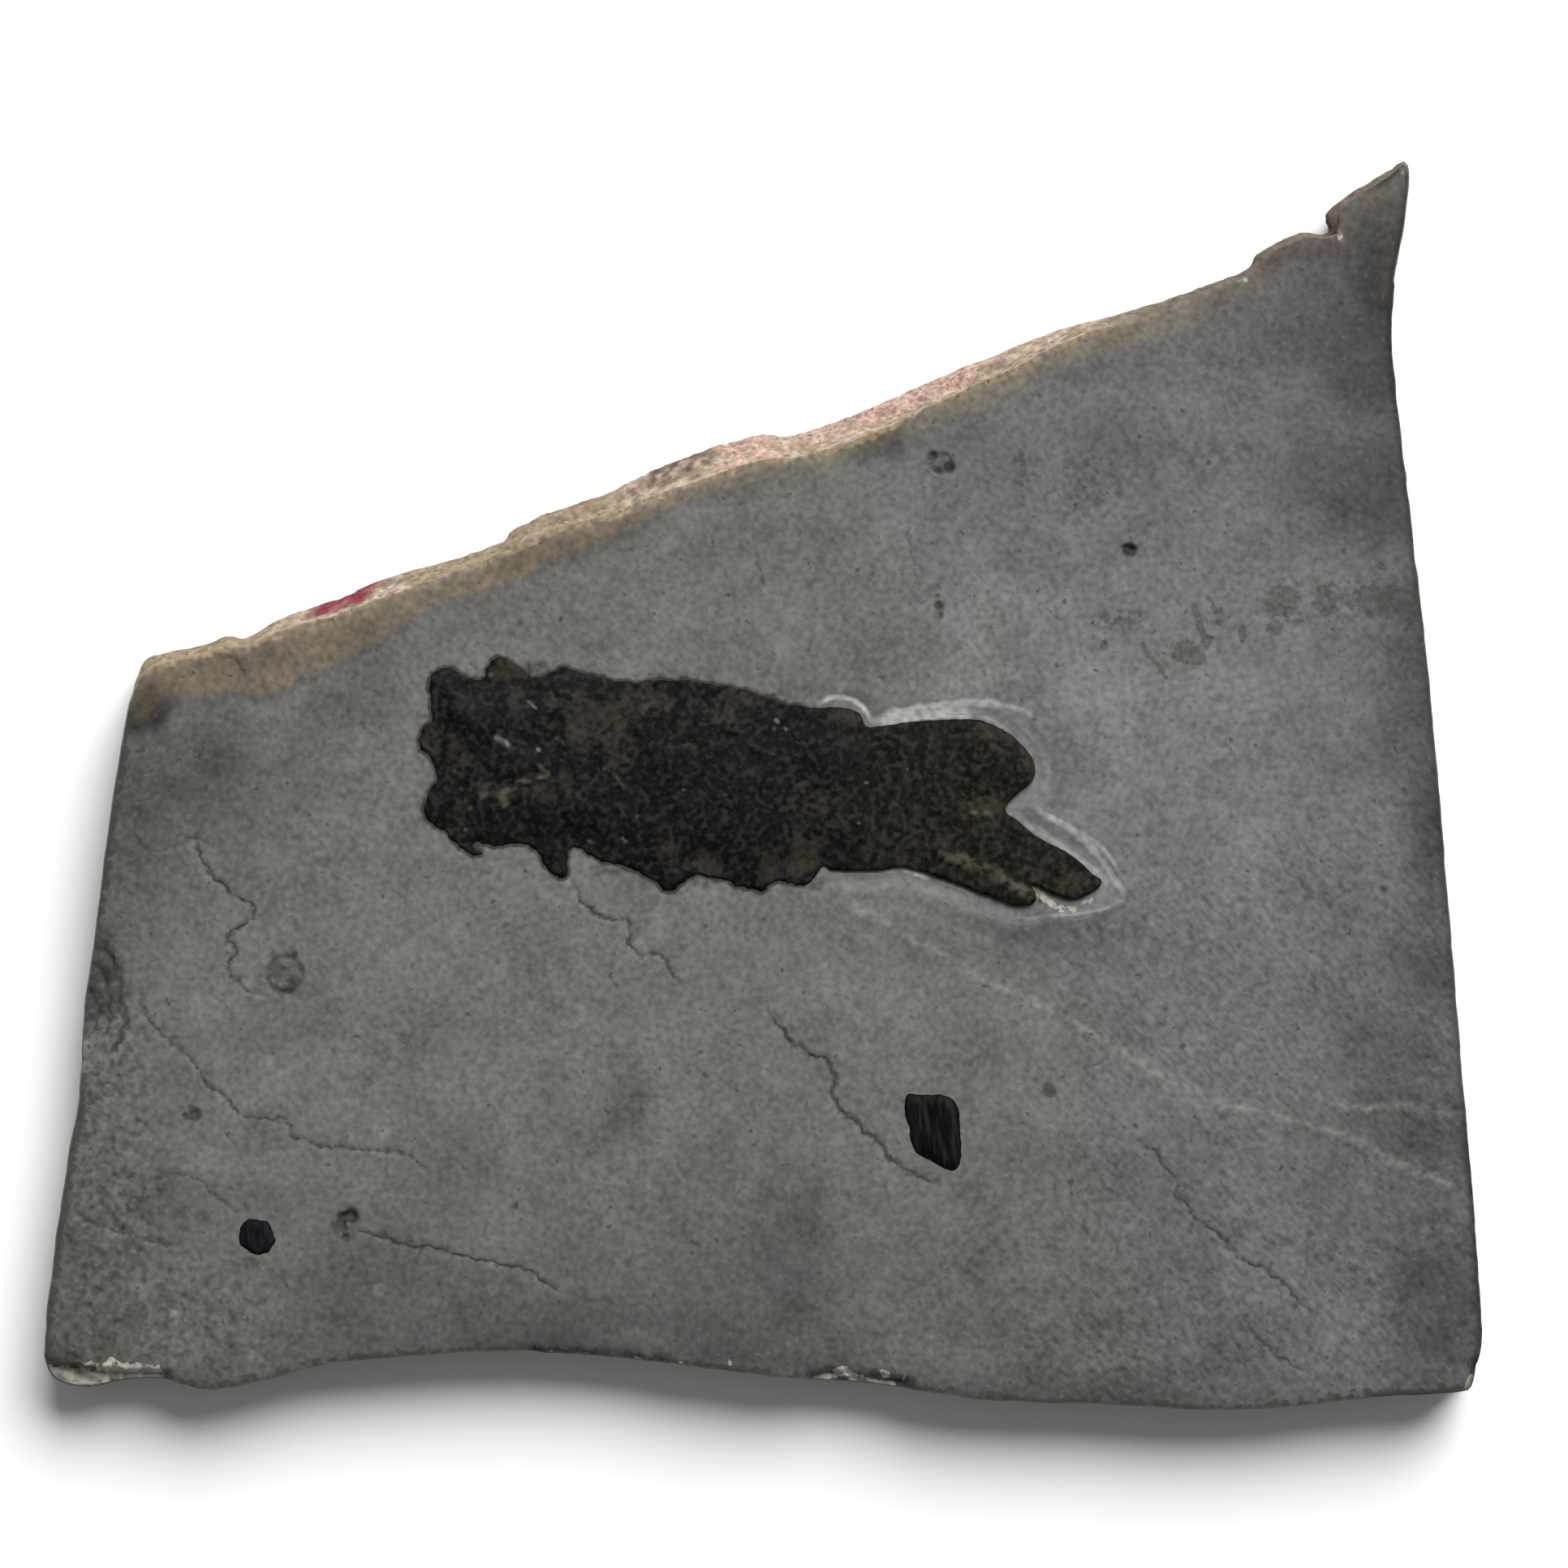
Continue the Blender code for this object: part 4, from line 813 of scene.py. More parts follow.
def face_marks(places):
    """The marks of the slab's face: how strong each is at each place."""
    x = places[:, 0]
    dark, pale, crack = line_marks(places)
    around, along_fish = nearest(places, FISH_OUTLINE, 8.0, closed=True)
    beside_tail = in_tail_trough(x)
    # painted shadow on the rock beside the fish's body
    beside_body = (1.0 - ramp(x, *TAIL_SMOOTH)) * ease(1.0 - around / SOOT_AND_SHADOW_REACH)
    mottle, shade = np.zeros(len(places)), np.zeros(len(places))
    for centre, half_width, half_height, share in MOTTLED:
        mottle = np.maximum(mottle, share * ease(1.5 - oval(places, centre, half_width, half_height)))
    # painted shade towards the edges and corners, with the rock's uneven tone
    for centre, half_width, half_height, share in SHADE_OVALS:
        away = oval(places, centre, half_width, half_height)
        away = away + 0.35 * rough(places, 0.5 * (half_width + half_height), 19.0)
        shade += share * ease(1.4 - away)
    place, half_width, share = TROUGH_ARC
    shade += share * beside_tail * ease(1.0 - np.abs(around - place) / half_width)

    straight, _ = nearest(places, JOINT_LINE, JOINT_FAR)
    reach = np.interp(x, *zip(*BAND_REACH))
    from_joint = straight + BAND_WANDER * rough(places, 8.0, 20.0, 3) * ease(reach / 6.0)
    tip = ramp(x, *TIP)
    place, half_width, share = BAND_FRINGE
    fringe = ease(1.0 - np.abs(from_joint - reach - place) / half_width)
    shade += share * fringe * (1.0 - ramp(x, *FRINGE_END))
    to_brim, _ = nearest(places, BRIM, 4.0 * EDGE_GLOOM[1], closed=True)
    gloom = EDGE_GLOOM[0] * np.exp(-to_brim / EDGE_GLOOM[1])
    shade += gloom * ease((straight - to_brim) / 3.0)
    # painted shade: a dark line along the right edge of the face
    shaded_edge_line = edge_shade_line(places) * ease(1.4 - to_brim / EDGE_LINE)
    return {
        "dark": np.clip(np.maximum(dark, shaded_edge_line), 0.0, 1.0),
        "crack": crack,
        "pale": np.clip(pale, 0.0, 1.0),
        "halo": np.clip(scraped_strands(places), 0.0, 1.0),
        "scraped": beside_tail * ease((SCRAPED[0] - around) / SCRAPED[1]),
        "brush": along_fish,
        "away": around,
        "shade": shade,
        "stain": np.maximum(oval_blots(places, STAINS), line_blots(places, STAIN_STREAKS, 1.6)),
        "soot": np.maximum(beside_body, oval_blots(places, SOOT_AND_SHADOW)),
        "crust": line_blots(places, CRUSTS, 1.7),
        "band": ease((reach - from_joint + 0.7) / 1.6) * (1.0 - 0.15 * tip),
        "tanned": 1.0 - ramp(x, *TANNED),
        "inset": np.clip(from_joint / 10.0, 0.0, 1.0),
        "lip": np.clip(1.0 - straight / LIP_REACH, 0.0, 1.0) * past_joint_start(x),
        "tip": tip,
        "mottle": mottle,
        "cool": ramp(x + COOL_TILT * places[:, 1], *COOL),
        "striae": striae_weight(places),
    }


# ---------------------------------------------------------------- meshes


class Shell:
    """A closed mesh gathered band by band: points with their marks, faces with their map places."""

    def __init__(self):
        self.points, self.marks, self.faces, self.corners = [], [], [], []
        self.count = 0

    def add_points(self, places, heights, marks=None):
        """New points at places in the plan, with heights, and their numbers."""
        heights = np.broadcast_to(heights, len(places))
        self.points.append(np.column_stack([places - CENTRE, heights]))
        self.marks.append(marks or {})
        first, self.count = self.count, self.count + len(places)
        return np.arange(first, self.count)

    def add_faces(self, faces, corners):
        """Triangles, and where each of their corners lies on the bake's map."""
        self.faces.append(faces)
        self.corners.append(corners)

    def add_flat(self, numbers, places, faces, corner, side, up=True):
        """Triangles over the plan, mapped as seen from above."""
        a, b, c = (places[faces[:, i]] for i in range(3))
        turned = np.cross(b - a, c - a) < 0.0
        faces = np.where((turned == up)[:, None], faces[:, ::-1], faces)
        low = places.min(axis=0)
        self.add_faces(numbers[faces], corner + (places[faces] - low) / side)

    def add_wall(self, upper, lower, along, rises, corner, side, rows=(1e9, 0.0), out=True):
        """Triangles between two closed rings, mapped as strips of a length and a spacing.

        Without rows they are one strip.
        """
        strip, spacing = rows
        count = len(upper)
        after = (np.arange(count) + 1) % count
        row = np.floor(along[:-1] / strip)
        near = along[:-1] - row * strip
        far = along[1:] - row * strip
        x = corner[0] + np.stack([near, far], axis=1) / side
        y = corner[1] + row * spacing
        top, bottom = y + rises[0] / side, y + rises[1] / side
        a, b = np.column_stack([x[:, 0], top]), np.column_stack([x[:, 1], top])
        c, d = np.column_stack([x[:, 1], bottom]), np.column_stack([x[:, 0], bottom])
        faces = np.vstack([
            np.column_stack([upper, upper[after], lower[after]]),
            np.column_stack([upper, lower[after], lower]),
        ])
        corners = np.vstack([np.stack([a, b, c], axis=1), np.stack([a, c, d], axis=1)])
        if out:
            self.add_faces(faces, corners)
        else:
            self.add_faces(faces[:, ::-1], corners[:, ::-1])

    def made(self, name, material, crease=60.0):
        """The object, with its marks as attributes of its points."""
        points, faces = np.vstack(self.points) * MM, np.vstack(self.faces)
        mesh = bpy.data.meshes.new(name)
        mesh.from_pydata(points.tolist(), [], faces.tolist())
        names = sorted({mark for marks in self.marks for mark in marks})
        for mark in names:
            layer = mesh.attributes.new(mark, "FLOAT", "POINT")
            values = [
                np.broadcast_to(marks.get(mark, 0.0), len(band))
                for marks, band in zip(self.marks, self.points)
            ]
            layer.data.foreach_set("value", np.concatenate(values).astype(np.float32))
        layer = mesh.uv_layers.new(name="OFBake")
        layer.uv.foreach_set("vector", np.vstack(self.corners).astype(np.float32).ravel())
        mesh.materials.append(material)
        mesh.shade_smooth()
        mesh.set_sharp_from_angle(angle=math.radians(crease))
        piece = bpy.data.objects.new(name, mesh)
        bpy.context.scene.collection.objects.link(piece)
        return piece


def lengths_along(ring):
    """Distance along a closed ring to each of its points and back to the first."""
    steps = np.linalg.norm(np.roll(ring, -1, axis=0) - ring, axis=1)
    return np.concatenate([[0.0], np.cumsum(steps)])


# ---------------------------------------------------------------- the slab

JOINT_SLOPE, JOINT_Y, JOINT_LOWEST = 0.47, 30.0, 12.0  # the joint face lies above this line and y
ON_JOINT = SLAB_OUTLINE[:, 1] > JOINT_SLOPE * SLAB_OUTLINE[:, 0] + JOINT_Y
ON_JOINT &= SLAB_OUTLINE[:, 1] > JOINT_LOWEST
LEAN = np.where(ON_JOINT, np.interp(SLAB_OUTLINE[:, 0], *zip(*JOINT_LEAN)), 0.0)
JOINT_SPREAD = 0.4  # how far the joint face stands out at its foot
BRIM_BACK = 0.3  # how far the face's edge stands back from the plan
DEEPEST = 2.6  # the most that a layer stands back from the plan, beside the joint's lean
INWARD_REACH = LEAN + DEEPEST
INWARD = inward_paths(SLAB_OUTLINE, INWARD_REACH)
BRIM = set_back(INWARD, INWARD_REACH, LEAN + BRIM_BACK)
JOINT_LINE = BRIM[ON_JOINT][np.argsort(BRIM[ON_JOINT][:, 0])]
ROUNDING = ((0.05, 0.18), (0.16, 0.07), (0.40, 0.02), (0.80, 0.0))  # depth below the face, and back
RING_HEIGHTS = (
    10.6, 10.2, 9.8, 9.3, 8.8, 8.3, 7.9, 7.6, 7.45, 7.3, 6.8, 6.3, 5.8, 5.4, 5.0, 4.75, 4.5,
    4.0, 3.5, 3.1, 2.8, 2.65, 2.5, 2.0, 1.5, 1.1, 0.8, 0.4, 0.0,
)
LAMINA = (4.0, 0.55, 0.30)  # length, thickness and depth of the fine layers in the broken sides
BRIM_CALM = 2.5  # depth below the brim over which the unevenness of the sides starts
DETAIL_REACH = 1.4  # distance from a fossil piece up to which the face needs the fine spacing
TROUGH_DETAIL = 5.0  # how much further that goes beside the tail
JOINT_GRAIN = (1.6, 0.22)  # size and depth of the grain of the joint face
SMALL_STAIN = 1.5  # half size below which a stain needs the fine spacing
STRETCH_ENDS = 2.5  # length over which a colour of the joint face starts and ends
MAP_SIDE = 300.0  # millimetres across the slab's bake map
# Corners of the slab's parts on that map, which is 1 wide, and the rows of its broken sides: the
# millimetres in each, and the spacing between them.
FACE_CORNER, UNDER_CORNER, SIDE_CORNER = (0.008, 0.375), (0.008, 0.01), (0.39, 0.02)
POCKET_CORNER, POCKET_SPACING = (0.74, 0.40), 0.06
POCKET_WALL_CORNER, POCKET_WALL_SPACING = (0.74, 0.60), 0.02
SIDE_ROWS = (165.0, 0.07)


def side_noise(ring, height, length, thickness):
    """Unevenness that is long along the side and thin in height."""
    scaled = np.column_stack([ring / length, np.broadcast_to(height / thickness, len(ring))])
    return np.array([noise.fractal(place, 0.8, 2.0, 3) for place in scaled.tolist()])


def stretch_weight(places, share, stretches):
    """How strong the marks of the listed stretches are on the joint face."""
    found = np.zeros(len(places))
    for start, end, low, high, strength in stretches:
        x = places[:, 0] + 2.2 * swell(places, 5.0, 22.0 + 2.4 * share)
        level = share + 0.16 * swell(places, 2.6, 23.0)
        across = ease((x - start) / STRETCH_ENDS) * ease((end - x) / STRETCH_ENDS)
        found = np.maximum(found, strength * across * ease((level - low) / 0.15)
                           * ease((high - level) / 0.2))
    return found


def side_marks(ring, share, below):
    """Marks of a ring of the broken sides at a share of its height, and its depth below the face."""
    return {
        # painted shade: the dark line of the right edge goes on down the upper side
        "dark": edge_shade_line(ring) * (below < 1.0) * ~ON_JOINT,
        "side": np.full(len(ring), min(below / 0.7, 1.0)),
        "joint": ease(LEAN / 0.6) * min(below / 0.1, 1.0) * past_joint_start(ring[:, 0]),
        "lip": ON_JOINT.astype(float),
        "tip": ramp(ring[:, 0], *SIDE_TIP),
        "pink": stretch_weight(ring, share, JOINT_PINK),
        "crimson": stretch_weight(ring, share, JOINT_CRIMSON),
        "brown": stretch_weight(ring, share, JOINT_DARK),
        "band": stretch_weight(ring, share, JOINT_TAN) * ON_JOINT,
        "cool": ramp(ring[:, 0], *COOL),
    }


def near_detail(points):
    """Whether each point of the face needs the fine spacing."""
    from_fish = nearest(points, FISH_OUTLINE, 7.0, closed=True)[0]
    close = from_fish < DETAIL_REACH + TROUGH_DETAIL * in_tail_trough(points[:, 0])
    for outline in FOSSIL_OUTLINES[1:]:
        close |= nearest(points, outline, DETAIL_REACH, closed=True)[0] < DETAIL_REACH
    for centre, reach, _, _ in PITS:
        close |= distance(points, centre) < reach + 0.3
    for centre, radius, width, _ in RINGS:
        close |= distance(points, centre) < radius + 2.0 * width
    for centre, half_width, half_height, _ in STAINS:
        if min(half_width, half_height) < SMALL_STAIN:
            close |= oval(points, centre, half_width + 0.4, half_height + 0.4) < 1.2
    for half_width, _, line in CRUSTS + STAIN_STREAKS:
        close |= nearest(points, np.array(line), half_width + 0.8)[0] < half_width + 0.5
    return close


def face_mesh(pockets):
    """Places and triangles of the face, fine near its details and open over the pockets."""
    rows = line_rows()
    coarse = grid_over(BRIM, FACE_STEP, lambda points: ~near_detail(points))
    points = np.vstack([coarse, grid_over(BRIM, FINE_STEP, near_detail)])
    points = np.vstack([apart(points, rows, ROW_GAP), rows])
    for pocket in pockets:
        points = points[~inside(points, pocket)]
        points = apart(points, pocket, 0.6 * FINE_STEP)
    points = apart(points[inside(points, BRIM)], BRIM, 0.4 * SIDE_STEP)
    points = thinned(points, CLOSEST)
    places, faces = triangles_over([BRIM, *pockets], points)
    middles = places[faces].mean(axis=1)
    for pocket in pockets:
        outside = ~inside(middles, pocket)
        faces, middles = faces[outside], middles[outside]
    return places, faces


def rim_darkening(places):
    """How dark the rim along the left and lower edges is, where no chip has broken it."""
    x_start, x_end, highest = DARK_RIM_LEFT
    y_start, y_end, share = DARK_RIM_LOWER
    left = ramp(places[:, 0], x_start, x_end) * (places[:, 1] < highest)
    worn = np.maximum(left, share * ramp(places[:, 1], y_start, y_end))
    worn *= 1.0 - ease(broken_depth(places) / DARK_RIM_FREE)
    return worn * ease(1.0 - nearest(places, BRIM, RIM_REACH, closed=True)[0] / RIM_REACH)


def make_slab(material):
    """The rock: a fine face with its marks, layered broken sides, pockets and a flat underside."""
    shell = Shell()
    side = MAP_SIDE
    pockets = [grown(outline, 0.5 * FOSSIL_GAP) for outline in FOSSIL_OUTLINES]
    places, faces = face_mesh(pockets)
    heights = face_height(places)
    face = shell.add_points(places, heights, {**face_marks(places), "rim": rim_darkening(places)})
    shell.add_flat(face, places, faces, FACE_CORNER, side)

    first = len(BRIM)
    for number, pocket in enumerate(pockets):
        rim = face[first : first + len(pocket)]
        first += len(pocket)
        floor_points = apart(grid_over(pocket, UNDER_STEP), pocket, 1.0)
        floor_places, floor_faces = triangles_over([pocket], floor_points)
        floor = shell.add_points(floor_places, POCKET_FLOOR)
        corner = (POCKET_CORNER[0], POCKET_CORNER[1] + POCKET_SPACING * number)
        shell.add_flat(floor, floor_places, floor_faces, corner, 4.0 * side)
        corner = (POCKET_WALL_CORNER[0], POCKET_WALL_CORNER[1] + POCKET_WALL_SPACING * number)
        rises = (THICKNESS - POCKET_FLOOR, 0.0)
        shell.add_wall(rim, floor[: len(pocket)], lengths_along(pocket), rises, corner,
                       4.0 * side, out=False)

    levels = heights[: len(BRIM)]
    sag = LAYER_SAG * swell(SLAB_OUTLINE, 2.0 * LAYER_RUN, 7.0)
    spread = np.minimum(LEAN, JOINT_SPREAD)
    bands = [(levels - depth, LEAN + back, depth) for depth, back in ROUNDING]
    for height in RING_HEIGHTS:
        share = max(height - JOINT_FOOT, 0.0) / (THICKNESS - JOINT_FOOT)
        wear = 0.6 + 1.5 * swell(SLAB_OUTLINE, LAYER_RUN, 0.25 * height)
        back = np.interp(height, *zip(*LAYERS, BRIM_LAYER)) * np.clip(wear, 0.1, 1.2)
        length, thickness, depth = LAMINA
        free = ease((THICKNESS - height) / BRIM_CALM)
        back = back + free * depth * side_noise(SLAB_OUTLINE, height, length, thickness)
        grain_size, grain = JOINT_GRAIN
        grains = side_noise(SLAB_OUTLINE, height, grain_size, grain_size)
        back = back + free * ease(LEAN) * grain * grains
        bow = math.sin(math.pi * height / THICKNESS)
        heights_there = levels * height / THICKNESS + bow * sag
        back = back + LEAN * share - spread * (1.0 - share)
        bands.append((heights_there, np.clip(back, -0.3, INWARD_REACH), THICKNESS - height))

    upper, along, rise = face[: len(BRIM)], lengths_along(SLAB_OUTLINE), 0.0
    for heights_there, back, below in bands:
        ring = set_back(INWARD, INWARD_REACH, back)
        numbers = shell.add_points(ring, heights_there, side_marks(ring, 1.0 - below / THICKNESS, below))
        shell.add_wall(upper, numbers, along, (THICKNESS - rise, THICKNESS - below), SIDE_CORNER,
                       side, rows=SIDE_ROWS)
        upper, rise = numbers, below
    bottom_points = apart(grid_over(ring, UNDER_STEP), ring, 1.2)
    bottom_places, bottom_faces = triangles_over([ring], bottom_points)
    inner = shell.add_points(bottom_points, 0.0, {"side": np.ones(len(bottom_points))})
    numbers = np.concatenate([upper, inner])
    shell.add_flat(numbers, bottom_places, bottom_faces, UNDER_CORNER, 2.0 * side, up=False)
    return shell.made("slab_stone", material)


# ---------------------------------------------------------------- the fossils

FISH_GRAIN = ((4.5, 0.16), (2.4, 0.07))  # size and height of the knobbly grain
FINE_GRAIN = ((1.1, 0.04),)  # the finer grain that only shows here
EDGE_ROUND = 0.35  # distance over which the fish's surface rounds down to its upright edge
EDGE_DROP = 0.16

# Brown places, where the crust is thin: centre, half width, half height and strength.
FISH_BROWN = (
    ((-38.1, 17.0), 3.4, 1.7, 1.0), ((-24.8, 8.6), 5.0, 3.4, 1.0), ((-21.4, 5.2), 3.0, 2.2, 0.8),
    ((-49.2, 6.5), 1.6, 2.1, 1.0), ((-44.6, 4.6), 2.0, 2.6, 0.6), ((-48.7, 12.3), 0.6, 2.8, 0.7),
    ((-39.0, -0.9), 5.4, 1.2, 0.6), ((-32.4, -0.6), 3.4, 2.2, 0.6), ((-44.6, -3.6), 0.8, 2.2, 0.7),
    ((-46.0, -7.0), 2.2, 0.6, 0.8), ((-30.4, 12.2), 2.0, 1.0, 0.5), ((-36.6, 12.4), 0.8, 2.0, 0.5),
    ((-17.4, 13.0), 3.2, 2.4, 0.9), ((-5.3, 11.6), 2.0, 2.4, 0.9), ((-1.0, 12.8), 3.2, 1.1, 0.9),
    ((12.2, 9.9), 2.2, 1.1, 1.0), ((-11.0, 5.5), 0.9, 0.5, 0.9), ((-11.9, 9.0), 0.7, 0.6, 0.8),
    ((5.8, -1.6), 1.8, 2.4, 0.6), ((-14.0, -10.0), 2.4, 1.6, 0.8), ((-8.4, -11.8), 1.9, 2.0, 0.9),
    ((0.8, -11.7), 1.6, 2.1, 0.8), ((5.8, -10.4), 2.3, 3.6, 0.9), ((35.4, 7.4), 4.4, 1.8, 0.7),
    ((38.6, 3.2), 1.9, 2.8, 0.8), ((32.6, -3.7), 3.2, 1.7, 0.9), ((26.8, -9.0), 1.6, 1.0, 0.8),
    ((41.0, -13.0), 2.2, 1.3, 0.9), ((45.2, -14.8), 2.4, 1.4, 0.8), ((20.0, -8.0), 6.0, 4.0, 0.25),
    ((-3.0, 4.5), 5.0, 3.0, 0.12), ((9.0, -4.0), 4.0, 3.0, 0.3),
)
# Tan ridges and bumps: points, half width, height and strength.
FISH_RIDGES = (
    (((26.4, -10.2), (28.4, -11.0), (31.6, -12.2), (34.4, -13.8), (37.2, -15.4), (39.2, -16.5)),
     1.15, 0.32, 0.85),
    (((-36.4, 0.2), (-34.6, 0.3), (-32.2, 0.9)), 0.5, 0.30, 0.95),
    (((-41.6, -1.8), (-39.0, -1.3), (-36.8, -0.6)), 0.5, 0.0, 0.75),
    (((-38.6, -2.2), (-38.2, -2.8)), 0.75, 0.22, 0.75), (((30.9, -4.4), (31.1, -4.4)), 0.6, 0.3, 0.9),
    (((33.0, -4.4), (33.2, -4.4)), 0.65, 0.3, 0.95), (((38.0, 4.6), (38.2, 4.4)), 0.45, 0.1, 0.7),
    (((-43.8, -2.6), (-43.2, -5.0)), 0.45, 0.15, 0.7), (((-33.2, 2.6), (-31.8, 1.4)), 0.4, 0.2, 0.55),
    (((-45.8, 1.8), (-44.6, 1.2)), 0.45, 0.2, 0.5), (((-40.4, 16.1), (-40.2, 16.1)), 0.45, 0.1, 0.8),
    (((-30.6, 6.8), (-29.2, 5.4)), 0.4, 0.15, 0.45), (((-22.4, 1.6), (-20.6, -0.6)), 0.4, 0.15, 0.4),
)
# Glints of shiny scale, painted as pale highlights: both ends, half width and strength.
FISH_GLINTS = (
    ((-39.4, 6.9), (-37.8, 5.8), 0.70, 0.9), ((-33.4, 5.1), (-33.2, 5.0), 0.42, 1.0),
    ((-34.7, 12.2), (-33.7, 11.2), 0.34, 0.8), ((-44.2, -6.7), (-44.1, -6.8), 0.36, 0.9),
    ((-9.8, 12.0), (-9.7, 12.0), 0.32, 0.5), ((-11.8, -0.9), (-11.7, -0.9), 0.4, 0.85),
    ((1.8, 9.5), (2.2, 9.1), 0.48, 0.75), ((3.1, 8.2), (3.4, 8.0), 0.34, 0.6),
    ((1.5, 8.2), (1.6, 8.1), 0.3, 0.55), ((1.4, 4.4), (1.5, 4.4), 0.3, 0.4),
    ((14.0, -5.8), (14.1, -5.8), 0.34, 0.95), ((15.0, 0.2), (15.3, 0.2), 0.32, 0.75),
    ((21.2, 2.2), (21.3, 2.2), 0.32, 0.8), ((25.4, 2.6), (25.5, 2.6), 0.28, 0.4),
    ((25.9, -0.2), (26.0, -0.2), 0.28, 0.35), ((-38.4, -3.3), (-38.3, -3.3), 0.3, 0.8),
    ((-18.7, -4.7), (-18.5, -4.8), 0.34, 0.55), ((-20.9, -8.0), (-20.2, -8.6), 0.32, 0.5),
    ((-30.0, 3.6), (-29.9, 3.5), 0.3, 0.45), ((-23.6, 2.2), (-23.5, 2.2), 0.32, 0.45),
    ((-5.7, -1.6), (-5.6, -1.6), 0.3, 0.4), ((-26.0, -8.2), (-25.4, -8.7), 0.3, 0.4),
)
# Smooth black scales that stand up like blocks: centre, half width, half height and height.
FISH_BLOCKS = (
    ((-47.0, 13.6), 2.1, 3.2, 0.14), ((-38.6, 11.6), 8.6, 3.2, 0.10), ((-36.2, 3.6), 4.6, 2.5, 0.16),
    ((-40.0, -6.4), 3.8, 2.3, 0.16), ((-47.2, -2.8), 2.6, 2.7, 0.14), ((-26.4, 14.4), 6.2, 2.3, 0.10),
    ((-31.0, -11.0), 1.6, 2.6, 0.1), ((-13.6, -14.0), 1.7, 1.5, 0.1), ((-2.8, -13.8), 2.2, 1.6, 0.1),
    ((-26.8, -3.8), 4.6, 3.8, 0.08), ((-10.0, 2.0), 8.0, 5.5, 0.05),
)
# Small holes between the scales, and for all of them the reach, the depth and the reach of their painted
# shade.
HOLES = ((2.6, 8.5), (3.4, 8.8), (-40.6, 5.6), (-34.2, 5.3), (-12.5, -0.8), (-19.0, 7.0), (-30.7, 13.0))
HOLE_REACH, HOLE_DEPTH, HOLE_SHADE = 0.7, 0.3, 0.75
GLINT_HEIGHT = 0.06
# Upright fibres of the fragments: width, width over length, share of the ridges' height, pattern.
CHIP_FIBRES = ((1.3, 0.15, 1.0, 8.0), (0.55, 0.12, 0.45, 26.0))
CHIP_RIDGE, CHIP_TILT = 0.05, 0.12  # height of the ridges, and how far they slant over a millimetre
SMALL_CHIP_RIDGE = 0.04
# The fossil pieces' bake maps: millimetres across, and the corners of the parts.
FISH_MAP, CHIP_MAP = 100.0, 20.0
TOP_CORNER, WALL_CORNER, LOW_CORNER = (0.02, 0.42), (0.02, 0.24), (0.5, 0.01)
WALL_ROW = 3.2  # millimetres from row to row of a wall, or 0.05 of the map if that is more
PATCH_WANDER = 0.75  # unevenness of the outlines of the brown places, as a share of their size
BLOCK_WANDER = 0.35
GLINT_SIZE = 0.65  # the glints' share of the half widths above


def patch_weight(places, patches, wander=PATCH_WANDER, layer=24.0):
    """The strongest of the oval patches at each place, their outlines uneven."""
    found = np.zeros(len(places))
    drift = wander * rough(places, 2.6, layer)
    for centre, half_width, half_height, share in patches:
        away = oval(places, centre, half_width, half_height)
        found = np.maximum(found, share * ease((1.25 - away - drift) / 0.45))
    return found


def line_weight(places, points, half_width):
    """1 along a line and 0 past its half width, rounded at its ends."""
    away, _ = nearest(places, np.array(points), 1.6 * half_width)
    return ease(1.3 - away / half_width)


def fish_height(places, depth_inside):
    """Height of the fish's surface at a distance inside its outline."""
    tail = ramp(places[:, 0], TAIL_START, TAIL_END)
    crown = FISH_CROWN + (TAIL_CROWN - FISH_CROWN) * tail
    height = face_level(places) + FISH_EDGE + crown * ease(depth_inside / SHOULDER)
    rise = ease(depth_inside / RIM)
    for size, grain in FISH_GRAIN:
        height += rise * grain * swell(places, size, 3.0)
    for size, grain in FINE_GRAIN:
        height += (0.35 + 0.65 * rise) * (1.0 - 0.35 * tail) * grain * swell(places, size, 25.0)
    for centre, reach, lump in FISH_LUMPS:
        height += rise * lump * dome(places, centre, reach)
    for centre, reach, hollow in FISH_HOLLOWS:
        height -= rise * hollow * dome(places, centre, reach)
    for *block, rise_there in FISH_BLOCKS:
        standing = patch_weight(places, [(*block, 1.0)], BLOCK_WANDER)
        height += rise_there * standing * ease(depth_inside / 0.8)
    for points, half_width, ridge, _ in FISH_RIDGES:
        height += ridge * line_weight(places, points, half_width)
    for start, end, half_width, share in FISH_GLINTS:
        height += GLINT_HEIGHT * share * line_weight(places, (start, end), GLINT_SIZE * half_width)
    for hole in HOLES:
        height -= HOLE_DEPTH * dome(places, hole, HOLE_REACH)
    return height - EDGE_DROP * (1.0 - ease(depth_inside / EDGE_ROUND))


def fish_marks(places, depth_inside):
    """Marks of the fish's surface: how strong each is at each place."""
    tan, glint = np.zeros(len(places)), np.zeros(len(places))
    for points, half_width, _, share in FISH_RIDGES:
        tan = np.maximum(tan, share * line_weight(places, points, half_width))
    for start, end, half_width, share in FISH_GLINTS:
        glint = np.maximum(glint, share * line_weight(places, (start, end), GLINT_SIZE * half_width))
    # painted shade in the holes, and along the edge by the hairline gap
    dark = np.zeros(len(places))
    for hole in HOLES:
        dark = np.maximum(dark, dome(places, hole, HOLE_SHADE))
    blocks = [(*block, 1.0) for *block, _ in FISH_BLOCKS]
    return {
        "brown": patch_weight(places, FISH_BROWN),
        "tan": tan,
        "glint": glint,
        "dark": np.maximum(dark, 0.45 * ease(1.0 - depth_inside / 0.5)),
        "block": patch_weight(places, blocks, BLOCK_WANDER),
        "tail": ramp(places[:, 0], TAIL_START, TAIL_END),
    }


